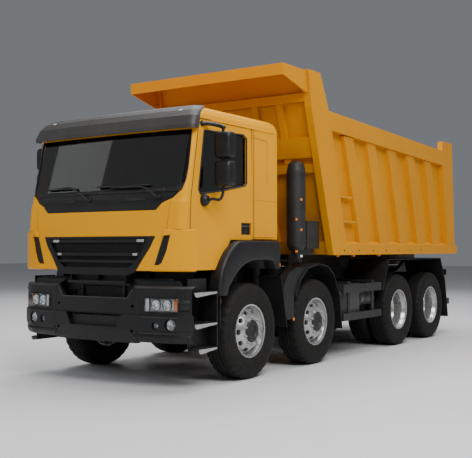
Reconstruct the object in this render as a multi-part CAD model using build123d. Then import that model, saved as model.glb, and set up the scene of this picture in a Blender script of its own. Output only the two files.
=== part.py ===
from build123d import *
import os
from math import atan2, cos, hypot, sin

# Four-axle tipper truck. Millimetres; +X forward, +Y the truck's left, +Z up, ground at z = 0.
# While modelling, x is measured from the first axle; save() moves every piece so that x = 0 is
# the middle of the overall length.

# ---------------------------------------------------------------- driving dimensions
BUMPER_X = 1285            # foremost face of the bumper
TAIL_X = -6655             # rearmost point of the tailgate's latches
AXLE_SPACING_1_2 = 1514
AXLE_SPACING_2_3 = 2631
AXLE_SPACING_3_4 = 1285
TYRE_RADIUS = 538
BEAD_RADIUS = 292
TRACK_OUTER = 1077         # middle of the front tyres and of the outer rear tyres
TWIN_SPACING = 350         # middle to middle of twin tyres
KINGPIN_Y = 868
HALF_WIDTH = 1250          # body side, arches, bumper

RAIL_INNER = 350           # inner edges of the rail flanges
RAIL_OUTER = 430           # outer faces of the rail webs
RAIL_BOTTOM = 720
RAIL_TOP = 1020
RAIL_WEB = 8
SUBFRAME_TOP = 1180
RAIL_FRONT_X = 1110
RAIL_REAR_X = -6300

CAB_HALF_WIDTH = 1150
CAB_FLOOR_Z = 1237
CAB_BACK_X = -730
CAB_SHEET = 45             # whole thickness of doors and walls
ROOF_TOP_Z = 3000
TILT_AXIS = (1080, 900)    # x, z of the cab's tilt axis
SEAT_Y = 520

BODY_BOTTOM = 1380
BODY_TOP_RAIL_Z = 3264     # top rail's upper face beside the front post
BODY_RAIL_HEIGHT = 246
BODY_RAIL_DROP = 132       # fall of the top rail over its length
BODY_FRONT_FOOT_X = -1930  # front post's foot
BODY_LEAN = 0.312          # forward lean of the front post, dx per dz
BODY_REAR_X = -6605
BODY_TOP = 3720
RIB_DEPTH = 86             # ribs and rails stand this far out of the side sheet
BODY_SHEET = 10
TIP_AXIS = (-6300, 1250)   # x, z of the body's rear hinge
GATE_AXIS = (-6230, 3270)  # x, z of the tailgate's hinge
SPRING_SEAT_Z = 640        # top of the pads on the drive axles

LEAF = 20                  # thickness of one spring leaf
HOIST_FOOT = (-1330, 950)  # x, z of the hoist's lower pin
HOIST_EYE = (-1250, 2450)  # x, z of its upper pin
RUNNING_GAP = 1.5          # between a pin and the eye that turns on it
PART_GAP = 8               # between bodies that move past each other
DOOR_GAP = 6               # between a door's inner face and the cab

AXLE_X = [0, -AXLE_SPACING_1_2]
AXLE_X.append(AXLE_X[1] - AXLE_SPACING_2_3)
AXLE_X.append(AXLE_X[2] - AXLE_SPACING_3_4)
BOGIE_X = (AXLE_X[2] + AXLE_X[3]) / 2
SHIFT_X = -(BUMPER_X + TAIL_X) / 2
SIDES = {"left": 1, "right": -1}

# ---------------------------------------------------------------- small helpers
DIRECTION = {"x": (1, 0, 0), "y": (0, 1, 0), "z": (0, 0, 1)}


def place(point, along, at):
    """A point in space from two coordinates and the plane that lies across one axis."""
    first, second = point
    return {"x": (at, first, second), "y": (first, at, second), "z": (first, second, at)}[along]


def slab(points, along, start, end):
    """Flat outline, given by its corners in the other two axes, thickened along one axis."""
    outline = Polyline(*[place(p, along, start) for p in points], close=True)
    return extrude(make_face(outline), amount=end - start, dir=DIRECTION[along])


def block(x, y, z):
    """Box from its spans along x, y and z."""
    return slab([(x[0], y[0]), (x[1], y[0]), (x[1], y[1]), (x[0], y[1])], "z", z[0], z[1])


def rod(start, end, radius):
    """Round bar between two points."""
    a, b = Vector(*start), Vector(*end)
    return Plane(origin=a, z_dir=b - a) * Cylinder(radius, (b - a).length,
                                                   align=(Align.CENTER, Align.CENTER, Align.MIN))


def pipe(start, end, radius, bore):
    """Round tube between two points."""
    return rod(start, end, radius) - rod(start, end, bore)


def other_side(shape):
    return mirror(shape, about=Plane.XZ)


def strip(points, thickness):
    """Outline of a bent sheet: the given line, then the same line moved sideways by its thickness."""
    back = []
    for i, (x, z) in enumerate(points):
        before = points[max(i - 1, 0)]
        after = points[min(i + 1, len(points) - 1)]
        turn_in = atan2(z - before[1], x - before[0]) if i else None
        turn_out = atan2(after[1] - z, after[0] - x) if i < len(points) - 1 else None
        angles = [a for a in (turn_in, turn_out) if a is not None]
        middle = atan2(sum(sin(a) for a in angles), sum(cos(a) for a in angles))
        reach = thickness / cos(angles[0] - middle)
        back.append((x - reach * sin(middle), z + reach * cos(middle)))
    return points + back[::-1]


def revolved(profile, x, y, z, outward=1):
    """Solid of revolution about the cross axis through x, y, z; profile columns: offset outboard, radius."""
    corners = [(x, y + outward * offset, z + radius) for offset, radius in profile]
    return revolve(make_face(Polyline(*corners, close=True)), axis=Axis((x, y, z), (0, 1, 0)))


NODES = {}


def save(name, *shapes):
    """Keeps one node: its solids, moved to the middle of the overall length."""
    solids = [s for shape in shapes for s in shape.solids()]
    moved = [Pos(SHIFT_X, 0, 0) * s for s in solids]
    NODES[name] = moved[0] if len(moved) == 1 else Compound(children=moved)


# ---------------------------------------------------------------- wheels and axles
# Tyre section: offset from the tyre's middle, radius.
TYRE_PROFILE = [(-118, BEAD_RADIUS), (-150, 345), (-157.5, 415), (-152, 470), (-132, 522), (-60, 538),
                (60, 538), (132, 522), (152, 470), (157.5, 415), (150, 345), (118, BEAD_RADIUS)]
# Rim section seen from the bead outwards and back along the inside.
RIM_OUTER = [(-128, 303), (-128, 292), (-112, BEAD_RADIUS), (-70, 270), (70, 270), (112, BEAD_RADIUS),
             (128, 292), (128, 303)]
RIM_INNER = [(136, 300), (134, 284), (112, 279), (66, 257), (-66, 257), (-112, 279), (-134, 284),
             (-136, 300)]
STUB_RADIUS = 46
REAR_STUB_RADIUS = 62
HAND_HOLES = 10
HAND_HOLE_PITCH = 212


def tyre(x, y):
    return revolved(TYRE_PROFILE, x, y, TYRE_RADIUS)


def rim(x, y):
    return revolved(RIM_OUTER + RIM_INNER, x, y, TYRE_RADIUS)


def hand_holes(x, y, reach):
    """Ring of oval holes through a wheel's disc, cutting so far either side of y."""
    hole = Plane((x, y, TYRE_RADIUS), x_dir=(1, 0, 0), z_dir=(0, 1, 0)) * extrude(
        Pos(HAND_HOLE_PITCH, 0) * SlotOverall(62, 36, rotation=90), amount=reach, both=True)
    turns = [Rotation(0, 360 / HAND_HOLES * i, 0) for i in range(HAND_HOLES)]
    centre = Pos(x, y, TYRE_RADIUS)
    return [centre * turn * centre.inverse() * hole for turn in turns]


def front_wheel(x, side):
    """Disc wheel whose nut face stands outboard of the rim, with the hub and brake drum behind it."""
    y = side * TRACK_OUTER
    disc = revolved([(50, 258), (72, 254), (126, 198), (144, 176), (150, 162), (150, 84), (136, 84),
                     (136, 154), (130, 166), (112, 186), (62, 240), (44, 250)], x, y, TYRE_RADIUS, side)
    hub = revolved([(-120, 205), (-10, 205), (20, 150), (136, 150), (136, 84), (118, 62),
                    (-60, 62), (-60, 190), (-120, 190)], x, y, TYRE_RADIUS, side)
    bore = rod((x, y - side * 130, TYRE_RADIUS), (x, y + side * 118, TYRE_RADIUS),
               STUB_RADIUS + RUNNING_GAP)
    wheel = rim(x, y) + disc
    for hole in hand_holes(x, y + side * 100, 50):
        wheel -= hole
    return wheel + (hub - bore)


def rear_wheel(x, side):
    """Twin disc wheels back to back: the outer face is a deep dish around the hub."""
    outer = side * TRACK_OUTER
    inner = side * (TRACK_OUTER - TWIN_SPACING)
    dish = [(-50, 264), (-100, 232), (-160, 205), (-168, 150), (-168, 80), (-180, 80), (-180, 160),
            (-172, 216), (-110, 243), (-62, 259)]
    disc_outer = revolved(dish, x, outer, TYRE_RADIUS, side)
    disc_inner = revolved([(-o, r) for o, r in dish], x, inner, TYRE_RADIUS, side)
    hub = revolved([(-110, 215), (60, 215), (90, 150), (168, 150), (168, 110), (318, 110), (332, 96),
                    (332, 40), (314, 40), (314, 80), (-110, 80)], x, inner, TYRE_RADIUS, side)
    wheel = rim(x, outer) + rim(x, inner) + disc_outer + disc_inner
    for hole in hand_holes(x, outer - side * 140, 70):
        wheel -= hole
    return wheel + hub


def knuckle(x, side):
    """Fork around the beam's eye, kingpin, stub axle and steering arm."""
    pin = side * KINGPIN_Y
    z = TYRE_RADIUS
    y = sorted((pin - side * 46, pin + side * 88))
    fork = block((x - 52, x + 52), y, (z - 108, z - 66)) + block((x - 52, x + 52), y, (z + 66, z + 108))
    back = block((x - 60, x + 60), sorted((pin + side * 56, pin + side * 88)), (z - 108, z + 108))
    stub = rod((x, pin + side * 88, z), (x, side * (TRACK_OUTER + 110), z), STUB_RADIUS)
    kingpin = rod((x, pin, z - 118), (x, pin, z + 118), 24)
    arm = slab([(x - 40, pin - side * 46), (x - 230, pin - side * 96), (x - 250, pin - side * 76),
                (x - 52, pin + side * 10)], "z", z - 104, z - 74)
    return fork + back + stub + kingpin + arm


def front_axle_beam(x):
    """Forged beam, dropped in the middle, with an eye for each kingpin."""
    half = [(0, 395), (470, 395), (640, 470), (KINGPIN_Y - 20, 486), (KINGPIN_Y - 20, 590), (620, 560),
            (450, 485), (0, 485)]
    outline = half + [(-y, z) for y, z in reversed(half[1:-1])]
    beam = slab(outline, "x", x - 55, x + 55)
    pocket = [(0, 412), (460, 412), (620, 482), (760, 500), (760, 562), (626, 544), (460, 468), (0, 468)]
    flute = pocket + [(-y, z) for y, z in reversed(pocket[1:-1])]
    beam -= slab(flute, "x", x + 14, x + 60)
    beam -= slab(flute, "x", x - 60, x - 14)
    for side in SIDES.values():
        pin = side * KINGPIN_Y
        z = TYRE_RADIUS
        beam += rod((x, pin, z - 60), (x, pin, z + 60), 44)
        beam -= rod((x, pin, z - 80), (x, pin, z + 80), 24 + RUNNING_GAP)
    return beam


def drive_axle(x):
    """Banjo housing: swollen round the final drive, tubes to the hubs."""
    half = [(0, 205), (90, 200), (190, 130), (260, 92), (560, 84), (560, 110), (590, 110), (590, 78),
            (600, REAR_STUB_RADIUS), (TRACK_OUTER - 100, REAR_STUB_RADIUS), (TRACK_OUTER - 100, 0), (0, 0)]
    side = revolved(half, x, 0, TYRE_RADIUS)
    nose = rod((x, 0, TYRE_RADIUS), (x + 330, 0, TYRE_RADIUS + 40), 105)
    pad = block((x - 60, x + 60), (446, 538), (TYRE_RADIUS, SPRING_SEAT_Z))
    return side + other_side(side) + nose + pad + other_side(pad)


def drive_axles():
    between = rod((AXLE_X[2] - 150, 0, TYRE_RADIUS), (AXLE_X[3] + 320, 0, TYRE_RADIUS + 40), 48)
    return drive_axle(AXLE_X[2]) + drive_axle(AXLE_X[3]) + between


# ---------------------------------------------------------------- chassis
def chassis_frame():
    channel = [(RAIL_OUTER, RAIL_BOTTOM), (RAIL_OUTER, RAIL_TOP), (RAIL_INNER, RAIL_TOP),
               (RAIL_INNER, RAIL_TOP - RAIL_WEB), (RAIL_OUTER - RAIL_WEB, RAIL_TOP - RAIL_WEB),
               (RAIL_OUTER - RAIL_WEB, RAIL_BOTTOM + RAIL_WEB), (RAIL_INNER, RAIL_BOTTOM + RAIL_WEB),
               (RAIL_INNER, RAIL_BOTTOM)]
    rail = slab(channel, "x", RAIL_REAR_X, RAIL_FRONT_X)
    sub = block((RAIL_REAR_X, -1760), (RAIL_OUTER - 70, RAIL_OUTER), (RAIL_TOP, SUBFRAME_TOP))
    cheek = slab([(RAIL_REAR_X - 75, RAIL_TOP), (RAIL_REAR_X - 75, TIP_AXIS[1] + 20),
                 (TIP_AXIS[0] - 45, TIP_AXIS[1] + 52),
                  (TIP_AXIS[0] + 45, TIP_AXIS[1] + 52), (TIP_AXIS[0] + 190, SUBFRAME_TOP),
                  (TIP_AXIS[0] + 190, RAIL_TOP)], "y", RAIL_OUTER - 60, RAIL_OUTER - 20)
    frame = rail + sub + cheek
    frame += other_side(frame)
    web = RAIL_OUTER - RAIL_WEB
    for x in (-2650, -3500, BOGIE_X, RAIL_REAR_X + 60):
        frame += block((x - 50, x + 50), (-web, web), (RAIL_BOTTOM + 60, RAIL_TOP - 60))
    frame += block((870, 950), (-web, web), (RAIL_BOTTOM, RAIL_BOTTOM + 90))
    frame += rod((TILT_AXIS[0], -web, TILT_AXIS[1]), (TILT_AXIS[0], web, TILT_AXIS[1]), 30)
    frame += rod((TIP_AXIS[0], -520, TIP_AXIS[1]), (TIP_AXIS[0], 520, TIP_AXIS[1]), 32)
    mount = slab([(340, RAIL_TOP), (430, RAIL_TOP), (430, 1170), (470, 1222), (-470, 1222), (-430, 1170),
                  (-430, RAIL_TOP), (-340, RAIL_TOP), (-340, 1150), (340, 1150)], "x", -660, -590)
    frame += mount
    fx, fz = HOIST_FOOT
    cross = block((fx - 130, fx + 130), (-web, web), (fz - 120, fz - 95))
    lug = slab([(fx - 70, fz - 95), (fx + 70, fz - 95), (fx + 40, fz + 40), (fx - 40, fz + 40)], "y", 128,
               150)
    frame += cross + lug + other_side(lug)
    frame += rod((fx, -150, fz), (fx, 150, fz), 28)
    return frame


def leaf_pack(x, middle_z, reach, rise, half_lengths, y):
    """Leaves nested on one centre: rise lifts (or, if negative, drops) the ends of the longest one."""
    up = 1 if rise > 0 else -1
    radius = (reach ** 2 + rise ** 2) / (2 * abs(rise))
    centre = middle_z + up * radius

    def arc(r, half):
        end = centre - up * (r ** 2 - half ** 2) ** 0.5
        return ThreePointArc((x - half, y[0], end), (x, y[0], centre - up * r), (x + half, y[0], end))

    pack = None
    for level, half in enumerate(half_lengths):
        top = arc(radius + up * LEAF * level, half)
        low = arc(radius + up * LEAF * (level + 1), half)
        leaf = extrude(make_face([top, Line(top @ 1, low @ 1), low, Line(low @ 0, top @ 0)]),
                       amount=y[1] - y[0], dir=(0, 1, 0))
        pack = leaf if pack is None else pack + leaf
    return pack


def leaf_springs():
    springs = None
    for x in AXLE_X[:2]:
        pack = leaf_pack(x, 545, 700, 90, (700, 560, 400), (372, 448))
        for end in (-1, 1):
            ex = x + end * 690
            pack += slab([(ex - 60, RAIL_BOTTOM), (ex + 60, RAIL_BOTTOM), (ex + 24, 600), (ex - 24, 600)],
                         "y", 362, 458)
        springs = pack if springs is None else springs + pack
    half_bogie = AXLE_SPACING_3_4 / 2
    rear = leaf_pack(BOGIE_X, 850, half_bogie, -95, (half_bogie + 40, half_bogie - 60, half_bogie - 180),
                     (442, 540))
    rear += block((BOGIE_X - 90, BOGIE_X + 90), (RAIL_OUTER, 536), (600, 830))
    for x in AXLE_X[2:]:
        rear += block((x - 60, x + 60), (450, 535), (SPRING_SEAT_Z, 745))
    both = springs + rear
    return [both, other_side(both)]


def powertrain():
    engine = slab([(640, 640), (640, 1120), (560, 1190), (-380, 1190), (-450, 1100), (-450, 700),
                   (-300, 620), (560, 620)], "y", -300, 300)
    radiator = block((700, 780), (-330, 330), (740, 1190))
    fan_duct = block((640, 700), (-260, 260), (780, 1120))
    gearbox = slab([(-450, 700), (-450, 1040), (-900, 940), (-1120, 840), (-1120, 680), (-900, 660)], "y",
                   -190, 190)
    shaft_1 = rod((-1100, 0, 760), (-2650, 0, 680), 52)
    shaft_2 = rod((-2650, 0, 680), (AXLE_X[2] + 346, 0, TYRE_RADIUS + 42), 52)
    return engine + fan_duct + radiator + gearbox + shaft_1 + shaft_2


# ---------------------------------------------------------------- bumper, lamps and steps
UPPER_SETBACK = 12         # of the band that holds the headlamps
# Bumper's upright section: height, how far its face is set back there.
BUMPER_SECTION = [(470, 46), (505, 14), (606, 6), (614, 0), (770, 0), (784, UPPER_SETBACK),
                  (1050, UPPER_SETBACK), (1075, 32)]
BUMPER_DEPTH = 60
BUMPER_TOP = BUMPER_SECTION[-1][0]
BUMPER_BOTTOM = BUMPER_SECTION[0][0]
BUMPER_BOW = 78            # fall of the face from the middle to the corner pieces
BUMPER_CORNER_Y = 930
SHOULDER_SETBACK = 76      # face of the shoulders that stand on the bumper
SHOULDER_TOP = 1130
STEP_FRONT_X = 1085


def bumper_section(inset, depth, z):
    """Plan of the bumper as a closed band at one height, set back by inset."""
    def line(back):
        front = BUMPER_X - back
        side = HALF_WIDTH - back
        shoulder = front - BUMPER_BOW
        corner_y = BUMPER_CORNER_Y
        middle = ThreePointArc((shoulder, -corner_y, z), (front, 0, z), (shoulder, corner_y, z))
        turn = (shoulder - 50, (corner_y + side) / 2 + 40)
        tip = (shoulder - 127, side)
        left = ThreePointArc((shoulder, corner_y, z), (turn[0], turn[1], z), (tip[0], tip[1], z))
        right = ThreePointArc((tip[0], -tip[1], z), (turn[0], -turn[1], z), (shoulder, -corner_y, z))
        return middle, left, right
    outer, outer_left, outer_right = line(inset)
    inner, inner_left, inner_right = line(inset + depth)
    edges = [outer, outer_left, outer_right, inner, inner_left, inner_right,
             Line(outer_left @ 1, inner_left @ 1), Line(outer_right @ 0, inner_right @ 0)]
    return make_face(edges)


def bumper_band(section, depth):
    """Band that follows the bumper's plan; section columns: height, set-back of its face."""
    band = None
    for (z0, inset0), (z1, inset1) in zip(section, section[1:]):
        part = loft([bumper_section(inset0, depth, z0), bumper_section(inset1, depth, z1)], ruled=True)
        band = part if band is None else band + part
    return band


INTAKE = [(-405, 770), (405, 770), (340, 636), (-340, 636)]
HEADLAMP = [(755, 815), (1190, 815), (1190, 945), (755, 945)]
FOG_LAMPS = [(826, 667, 42), (1000, 675, 66)]   # y, z, radius
LAMP_RECESS = 12
TOW_SOCKET_Y = 540
TOW_SOCKETS_Z = (860, 600)
TOW_SOCKET_RADIUS = 18
MARKER_DEPTH = 10          # flat side marker lamps
FRONT_REACH = BUMPER_X + 50   # beyond the bumper's face, for cuts along x


def bumper():
    band = bumper_band(BUMPER_SECTION, BUMPER_DEPTH)
    half = [(470, 944), (570, BUMPER_TOP), (HALF_WIDTH + 50, BUMPER_TOP), (HALF_WIDTH + 50, 560),
            (620, 560), (570, BUMPER_BOTTOM)]
    outline = half + [(-y, z) for y, z in reversed(half)]
    shape = band & slab(outline, "x", STEP_FRONT_X + PART_GAP, FRONT_REACH)
    shape -= slab(INTAKE, "x", 900, FRONT_REACH)
    shoulders = bumper_band([(BUMPER_TOP, SHOULDER_SETBACK), (SHOULDER_TOP, SHOULDER_SETBACK + 14)], 22)
    for side in SIDES.values():
        shape -= slab([(side * y, z) for y, z in HEADLAMP], "x", 900, FRONT_REACH)
        for y, z, radius in FOG_LAMPS:
            shape -= rod((900, side * y, z), (FRONT_REACH, side * y, z), radius)
        for z in TOW_SOCKETS_Z:
            y = side * TOW_SOCKET_Y
            shape -= rod((1100, y, z), (FRONT_REACH, y, z), TOW_SOCKET_RADIUS)
        arm = block((RAIL_FRONT_X, BUMPER_X - BUMPER_DEPTH - 20),
                    sorted((side * RAIL_INNER, side * RAIL_OUTER)),
                    (730, 900))
        reach = [(side * 590, BUMPER_TOP), (side * 500, SHOULDER_TOP), (side * 1120, SHOULDER_TOP),
                 (side * 1120, BUMPER_TOP)]
        shape += arm + (shoulders & slab(reach, "x", STEP_FRONT_X, FRONT_REACH))
    return shape


def lamps():
    lights = []
    for side in SIDES.values():
        window = slab([(side * y, z) for y, z in HEADLAMP], "x", 900, FRONT_REACH)
        face = UPPER_SETBACK + LAMP_RECESS
        lights.append(bumper_band([(HEADLAMP[0][1], face), (HEADLAMP[2][1], face)], 50) & window)
        for y, z, radius in FOG_LAMPS:
            tube = rod((900, side * y, z), (FRONT_REACH, side * y, z), radius)
            lights.append(bumper_band([(z - 80, LAMP_RECESS), (z + 80, LAMP_RECESS)], 50) & tube)
        lights.append(block((-6290, -6255), sorted((side * 900, side * 1180)), (1010, 1110)))
        marker = sorted((side * (HALF_WIDTH - MARKER_DEPTH), side * HALF_WIDTH))
        lights.append(block((-918, -882), marker, (595, 627)))
    return lights


# Step treads: height of the top, foremost x.
TREADS = [(1015, STEP_FRONT_X), (690, STEP_FRONT_X), (430, STEP_FRONT_X - 15)]


def entry_steps(side):
    y = sorted((side * 985, side * HALF_WIDTH))
    back = slab([(690, 395), (1060, 395), (1060, 980), (690, 980)], "y", *sorted((side * 985, side * 1000)))
    steps = back
    for top, front in TREADS:
        steps += slab([(690, top - 35), (front - 12, top - 35), (front, top - 22), (front, top),
                      (690, top)], "y", *y)
    steps += slab([(690, 395), (705, 395), (705, 1015), (690, 1015)], "y", *y)
    steps += block((820, 900), sorted((side * RAIL_OUTER, side * 985)), (860, 940))
    skirt = sorted((side * 1120, side * 1135))
    tx, tz = TILT_AXIS
    foot_x, foot_z = ARCH_OUTER[0]
    sweep = hypot(tx - foot_x, foot_z - tz) - PART_GAP
    steps += block((690, 1060), skirt, (1015, 1150)) & rod((tx, skirt[0] - 5, tz), (tx, skirt[1] + 5, tz),
                                                           sweep)
    arch_foot = sorted((side * 1110, side * (HALF_WIDTH - 4)))
    steps += slab([(652, 620), (640, 954), (628, 954), (638, 620)], "y", *arch_foot)
    steps += block((635, 695), sorted((side * 1110, side * 1130)), (640, 950))
    return steps


# ---------------------------------------------------------------- guards, tanks, stacks
GUARD_DEPTH = 35           # side guard rails, across
WING_STAYS_X = (-3900, BOGIE_X, -5680)


def mudguards():
    pieces = []
    front_flap = strip([(-731, 526), (-600, 1140)], 12)
    fender = strip([(-2178, 403), (-2116, 838), (-1950, 1130), (-1780, 1240), (-1541, 1278), (-1250, 1225),
                    (-1060, 1080), (-950, 890)], -14)
    rear = strip([(-6150, 305), (-6022, 927), (-5810, 1310), (-3705, 1310), (-3483, 861)], -14)
    for side in SIDES.values():
        y = sorted((side * 925, side * HALF_WIDTH))
        rear_y = sorted((side * 585, side * HALF_WIDTH))
        flap = slab(front_flap, "y", *y)
        skirt = [(-938, 610), (-938, 880), (-956, 900), (-1064, 1084), (-1254, 1229), (-1010, 1235),
                 (-800, 1160), (-690, 1010), (-725, 760), (-775, 610)]
        guard = slab(skirt, "y", *sorted((side * (HALF_WIDTH - 34), side * (HALF_WIDTH - 22))))
        flap += block((-690, -640), sorted((side * RAIL_OUTER, side * 930)), (880, 930))
        guard += slab(fender, "y", *y)
        stay = [(RAIL_OUTER, 900), (RAIL_OUTER, 1000), (880, 1266), (1150, 1266), (1150, 1240), (900, 1240)]
        guard += slab([(side * a, b) for a, b in stay], "x", -1561, -1521)
        wing = slab(rear, "y", *rear_y)
        arm = [(RAIL_OUTER, 1040), (RAIL_OUTER, 1150), (520, 1162), (640, 1296), (1100, 1296),
               (1100, 1272), (660, 1262), (540, 1100)]
        for x in WING_STAYS_X:
            wing += slab([(side * a, b) for a, b in arm], "x", x - 20, x + 20)
        pieces += [flap, guard, wing]
    return pieces


def side_guards():
    pieces = []
    for side in SIDES.values():
        rail = sorted((side * (HALF_WIDTH - GUARD_DEPTH), side * HALF_WIDTH))
        post = sorted((side * (HALF_WIDTH - GUARD_DEPTH - 20), side * (HALF_WIDTH - GUARD_DEPTH)))
        arm = sorted((side * RAIL_OUTER, side * (HALF_WIDTH - GUARD_DEPTH)))
        guard = block((-3420, -2215), rail, (864, 977)) + block((-3420, -2215), rail, (490, 588))
        for x in (-2450, -3200):
            guard += block((x - 35, x + 35), post, (490, 1015))
            guard += block((x - 35, x + 35), arm, (990, 1015))
        pieces.append(guard)
    return pieces


def tanks():
    left_box = block((-2900, -2290), (560, 1150), (560, 980)) + block((-2700, -2500), (RAIL_OUTER, 560),
                                                                      (760, 960))
    air = [rod((-3400, y, z), (-2950, y, z), 105) for y, z in ((1040, 760), (790, 760))]
    hanger = block((-3210, -3150), (RAIL_OUTER, 1060), (850, 890))
    fuel = block((-3380, -2260), (-1170, -560), (520, 980))
    fuel = fillet(fuel.edges().filter_by(Axis.X), 70)
    fuel_hanger = [block((x - 30, x + 30), (-560, -RAIL_OUTER), (700, 960)) for x in (-2500, -3150)]
    oil = block((-1500, -1050), (-1050, -500), (1330, 2150))
    oil = fillet(oil.edges().filter_by(Axis.Z), 60)
    bracket = [(-RAIL_OUTER, 900), (-RAIL_OUTER, 1330), (-1050, 1330), (-1050, 1296), (-480, 1296),
               (-480, 900)]
    oil_arm = slab(bracket, "x", -1430, -1350) + slab(bracket, "x", -1180, -1100)
    left = left_box + air[0] + air[1] + hanger
    right = fuel + fuel_hanger[0] + fuel_hanger[1]
    return [left, right, oil + oil_arm]


def stacks():
    centre = (-1300, 1050)
    can = Pos(centre[0], centre[1], 0) * revolve(make_face(Polyline(
        (0, 0, 1440), (90, 0, 1440), (120, 0, 1500), (120, 0, 2440), (104, 0, 2530), (60, 0, 2570),
        (0, 0, 2570),
        close=True)), axis=Axis.Z)
    foot = slab([(RAIL_OUTER, 900), (RAIL_OUTER, 1330), (1110, 1330), (1110, 1296), (480, 1296),
                 (480, 900)], "x", -1340, -1260) + block((-1340, -1260), (1010, 1090), (1330, 1440))
    box = block((-1760, -1430), (900, 1130), (1464, 1820)) + block((-1700, -1330), (1000, 1080),
                                                                   (1380, 1464))
    return [can + foot + box]


def rear_underrun():
    bar = block((-6340, -6240), (-1200, 1200), (510, 613))
    for side in SIDES.values():
        drop = slab([(RAIL_REAR_X + 120, RAIL_BOTTOM), (RAIL_REAR_X - 15, RAIL_BOTTOM), (-6260, 560),
                     (-6240, 560), (-6160, 600)], "y", *sorted((side * 360, side * 420)))
        bar += drop
        lamp_arm = block((-6255, -6235), sorted((side * 1000, side * 1030)), (613, 1060))
        bar += lamp_arm
    plate = block((RAIL_REAR_X - 20, RAIL_REAR_X), (-RAIL_OUTER, RAIL_OUTER), (RAIL_BOTTOM, RAIL_TOP - 20))
    for y in (-80, 80):
        for z in (-50, 50):
            hole_z = (RAIL_BOTTOM + RAIL_TOP) / 2 + z
            plate -= rod((RAIL_REAR_X - 30, y, hole_z), (RAIL_REAR_X + 5, y, hole_z), 10.5)
    return bar + plate


# ---------------------------------------------------------------- cab
# Cab's face. Columns: height, foremost x, depth of the rounded corner. In plan it bows back by
# NOSE_BOW out to NOSE_ARC_Y, turns the corner and runs back along the side to NOSE_RETURN_X.
NOSE = [(1227, 1242, 100), (1600, 1226, 100), (1950, 1195, 100), (2000, 1172, 95), (2840, 972, 40)]
NOSE_BOW = 40
NOSE_ARC_Y = 1060
NOSE_RETURN_X = 860
PANEL_BOTTOM_Z = NOSE[0][0] + 5
COWL_Z = 2000
HEADER_Z = 2840
DEEP = (500, 1500)         # span along x that reaches through the cab's face


def nose_at(z):
    """Foremost x and corner depth of the cab's face at one height."""
    for (z0, x0, c0), (z1, x1, c1) in zip(NOSE, NOSE[1:]):
        if z <= z1:
            share = (z - z0) / (z1 - z0)
            return x0 + (x1 - x0) * share, c0 + (c1 - c0) * share
    return NOSE[-1][1:]


def nose_line(z, back, level, end_x=NOSE_RETURN_X):
    """Open plan line of the cab's face, set back by an amount, from the right side round to the left."""
    front, corner = nose_at(z)
    shoulder = front - back - NOSE_BOW
    side = CAB_HALF_WIDTH - back
    turn = shoulder - corner
    near = shoulder - 0.293 * corner
    out = NOSE_ARC_Y + 0.707 * (side - NOSE_ARC_Y)
    return [Line((end_x, -side, level), (turn, -side, level)),
            ThreePointArc((turn, -side, level), (near, -out, level), (shoulder, -NOSE_ARC_Y, level)),
            ThreePointArc((shoulder, -NOSE_ARC_Y, level), (front - back, 0, level),
                          (shoulder, NOSE_ARC_Y, level)),
            ThreePointArc((shoulder, NOSE_ARC_Y, level), (near, out, level), (turn, side, level)),
            Line((turn, side, level), (end_x, side, level))]


def nose_section(z, inset, depth):
    """Plan of the cab's face at one height, as a closed band."""
    outer = nose_line(z, inset, z)
    inner = nose_line(z, inset + depth, z)
    return make_face(outer + inner + [Line(outer[0] @ 0, inner[0] @ 0), Line(outer[-1] @ 1, inner[-1] @ 1)])


def nose_band(low, high, inset, depth):
    """Curved panel of the cab's face between two heights."""
    levels = [low] + [z for z, _, _ in NOSE if low < z < high] + [high]
    band = None
    for z0, z1 in zip(levels, levels[1:]):
        part = loft([nose_section(z0, inset, depth), nose_section(z1, inset, depth)], ruled=True)
        band = part if band is None else band + part
    return band


def both_ways(half):
    """Whole outline from its left half, whose first and last corners are its lowest and highest."""
    return half + [(-y, z) for y, z in reversed(half)]


# Outlines on the cab's face, left half, y and z.
APERTURE = both_ways([(800, 1865), (875, 1936), (1000, 1990), (1088, 2071), (1110, 2172), (1116, 2312),
                      (1112, 2515), (1105, 2720)])
GRILLE = both_ways([(470, 1182), (570, 1222), (665, 1360), (755, 1480), (815, 1595)])
GRILLE_MOUTH = both_ways([(470, 1262), (540, 1300), (625, 1400), (705, 1520), (725, 1572)])
GLASS_LOW_Z = 2058
PANEL_DEPTH = 34
SEAM = [(984, 1995), (952, 1664)]   # between the lift-up panel and the corner
# Edge of the door opening that faces the cab's front.
DOOR_FRONT = [(886, 2860), (913, 2709), (1037, 1981), (1057, 1454), (1065, 1200)]
POD_LOW_Z = 1227
POD_HIGH_Z = 1664
POD_FRONT = [(952, POD_HIGH_Z), (786, POD_LOW_Z)]
VENT = [(926, 1600), (1012, 1604), (972, 1440), (918, 1318), (880, 1294), (809, 1291)]
VENT_DEPTH = 26


def door_space():
    """Room for both doors, behind the cab's front pillars."""
    outline = DOOR_FRONT + [(-200, 1200), (-200, 2860)]
    room = slab(outline, "y", CAB_HALF_WIDTH - CAB_SHEET - DOOR_GAP, CAB_HALF_WIDTH + 20)
    return room + other_side(room)


def cab_front_frame():
    upper = nose_band(COWL_Z, HEADER_Z, 0, CAB_SHEET)
    upper -= slab(APERTURE, "x", *DEEP)
    wall = nose_band(CAB_FLOOR_Z + 40, COWL_Z, 50, 30) & block(DEEP, (-1045, 1045), (0, 3000))
    return upper + wall - door_space()


def windscreen():
    return nose_band(GLASS_LOW_Z + 4, 2720, 10, 7) & slab(APERTURE, "x", *DEEP)


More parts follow.
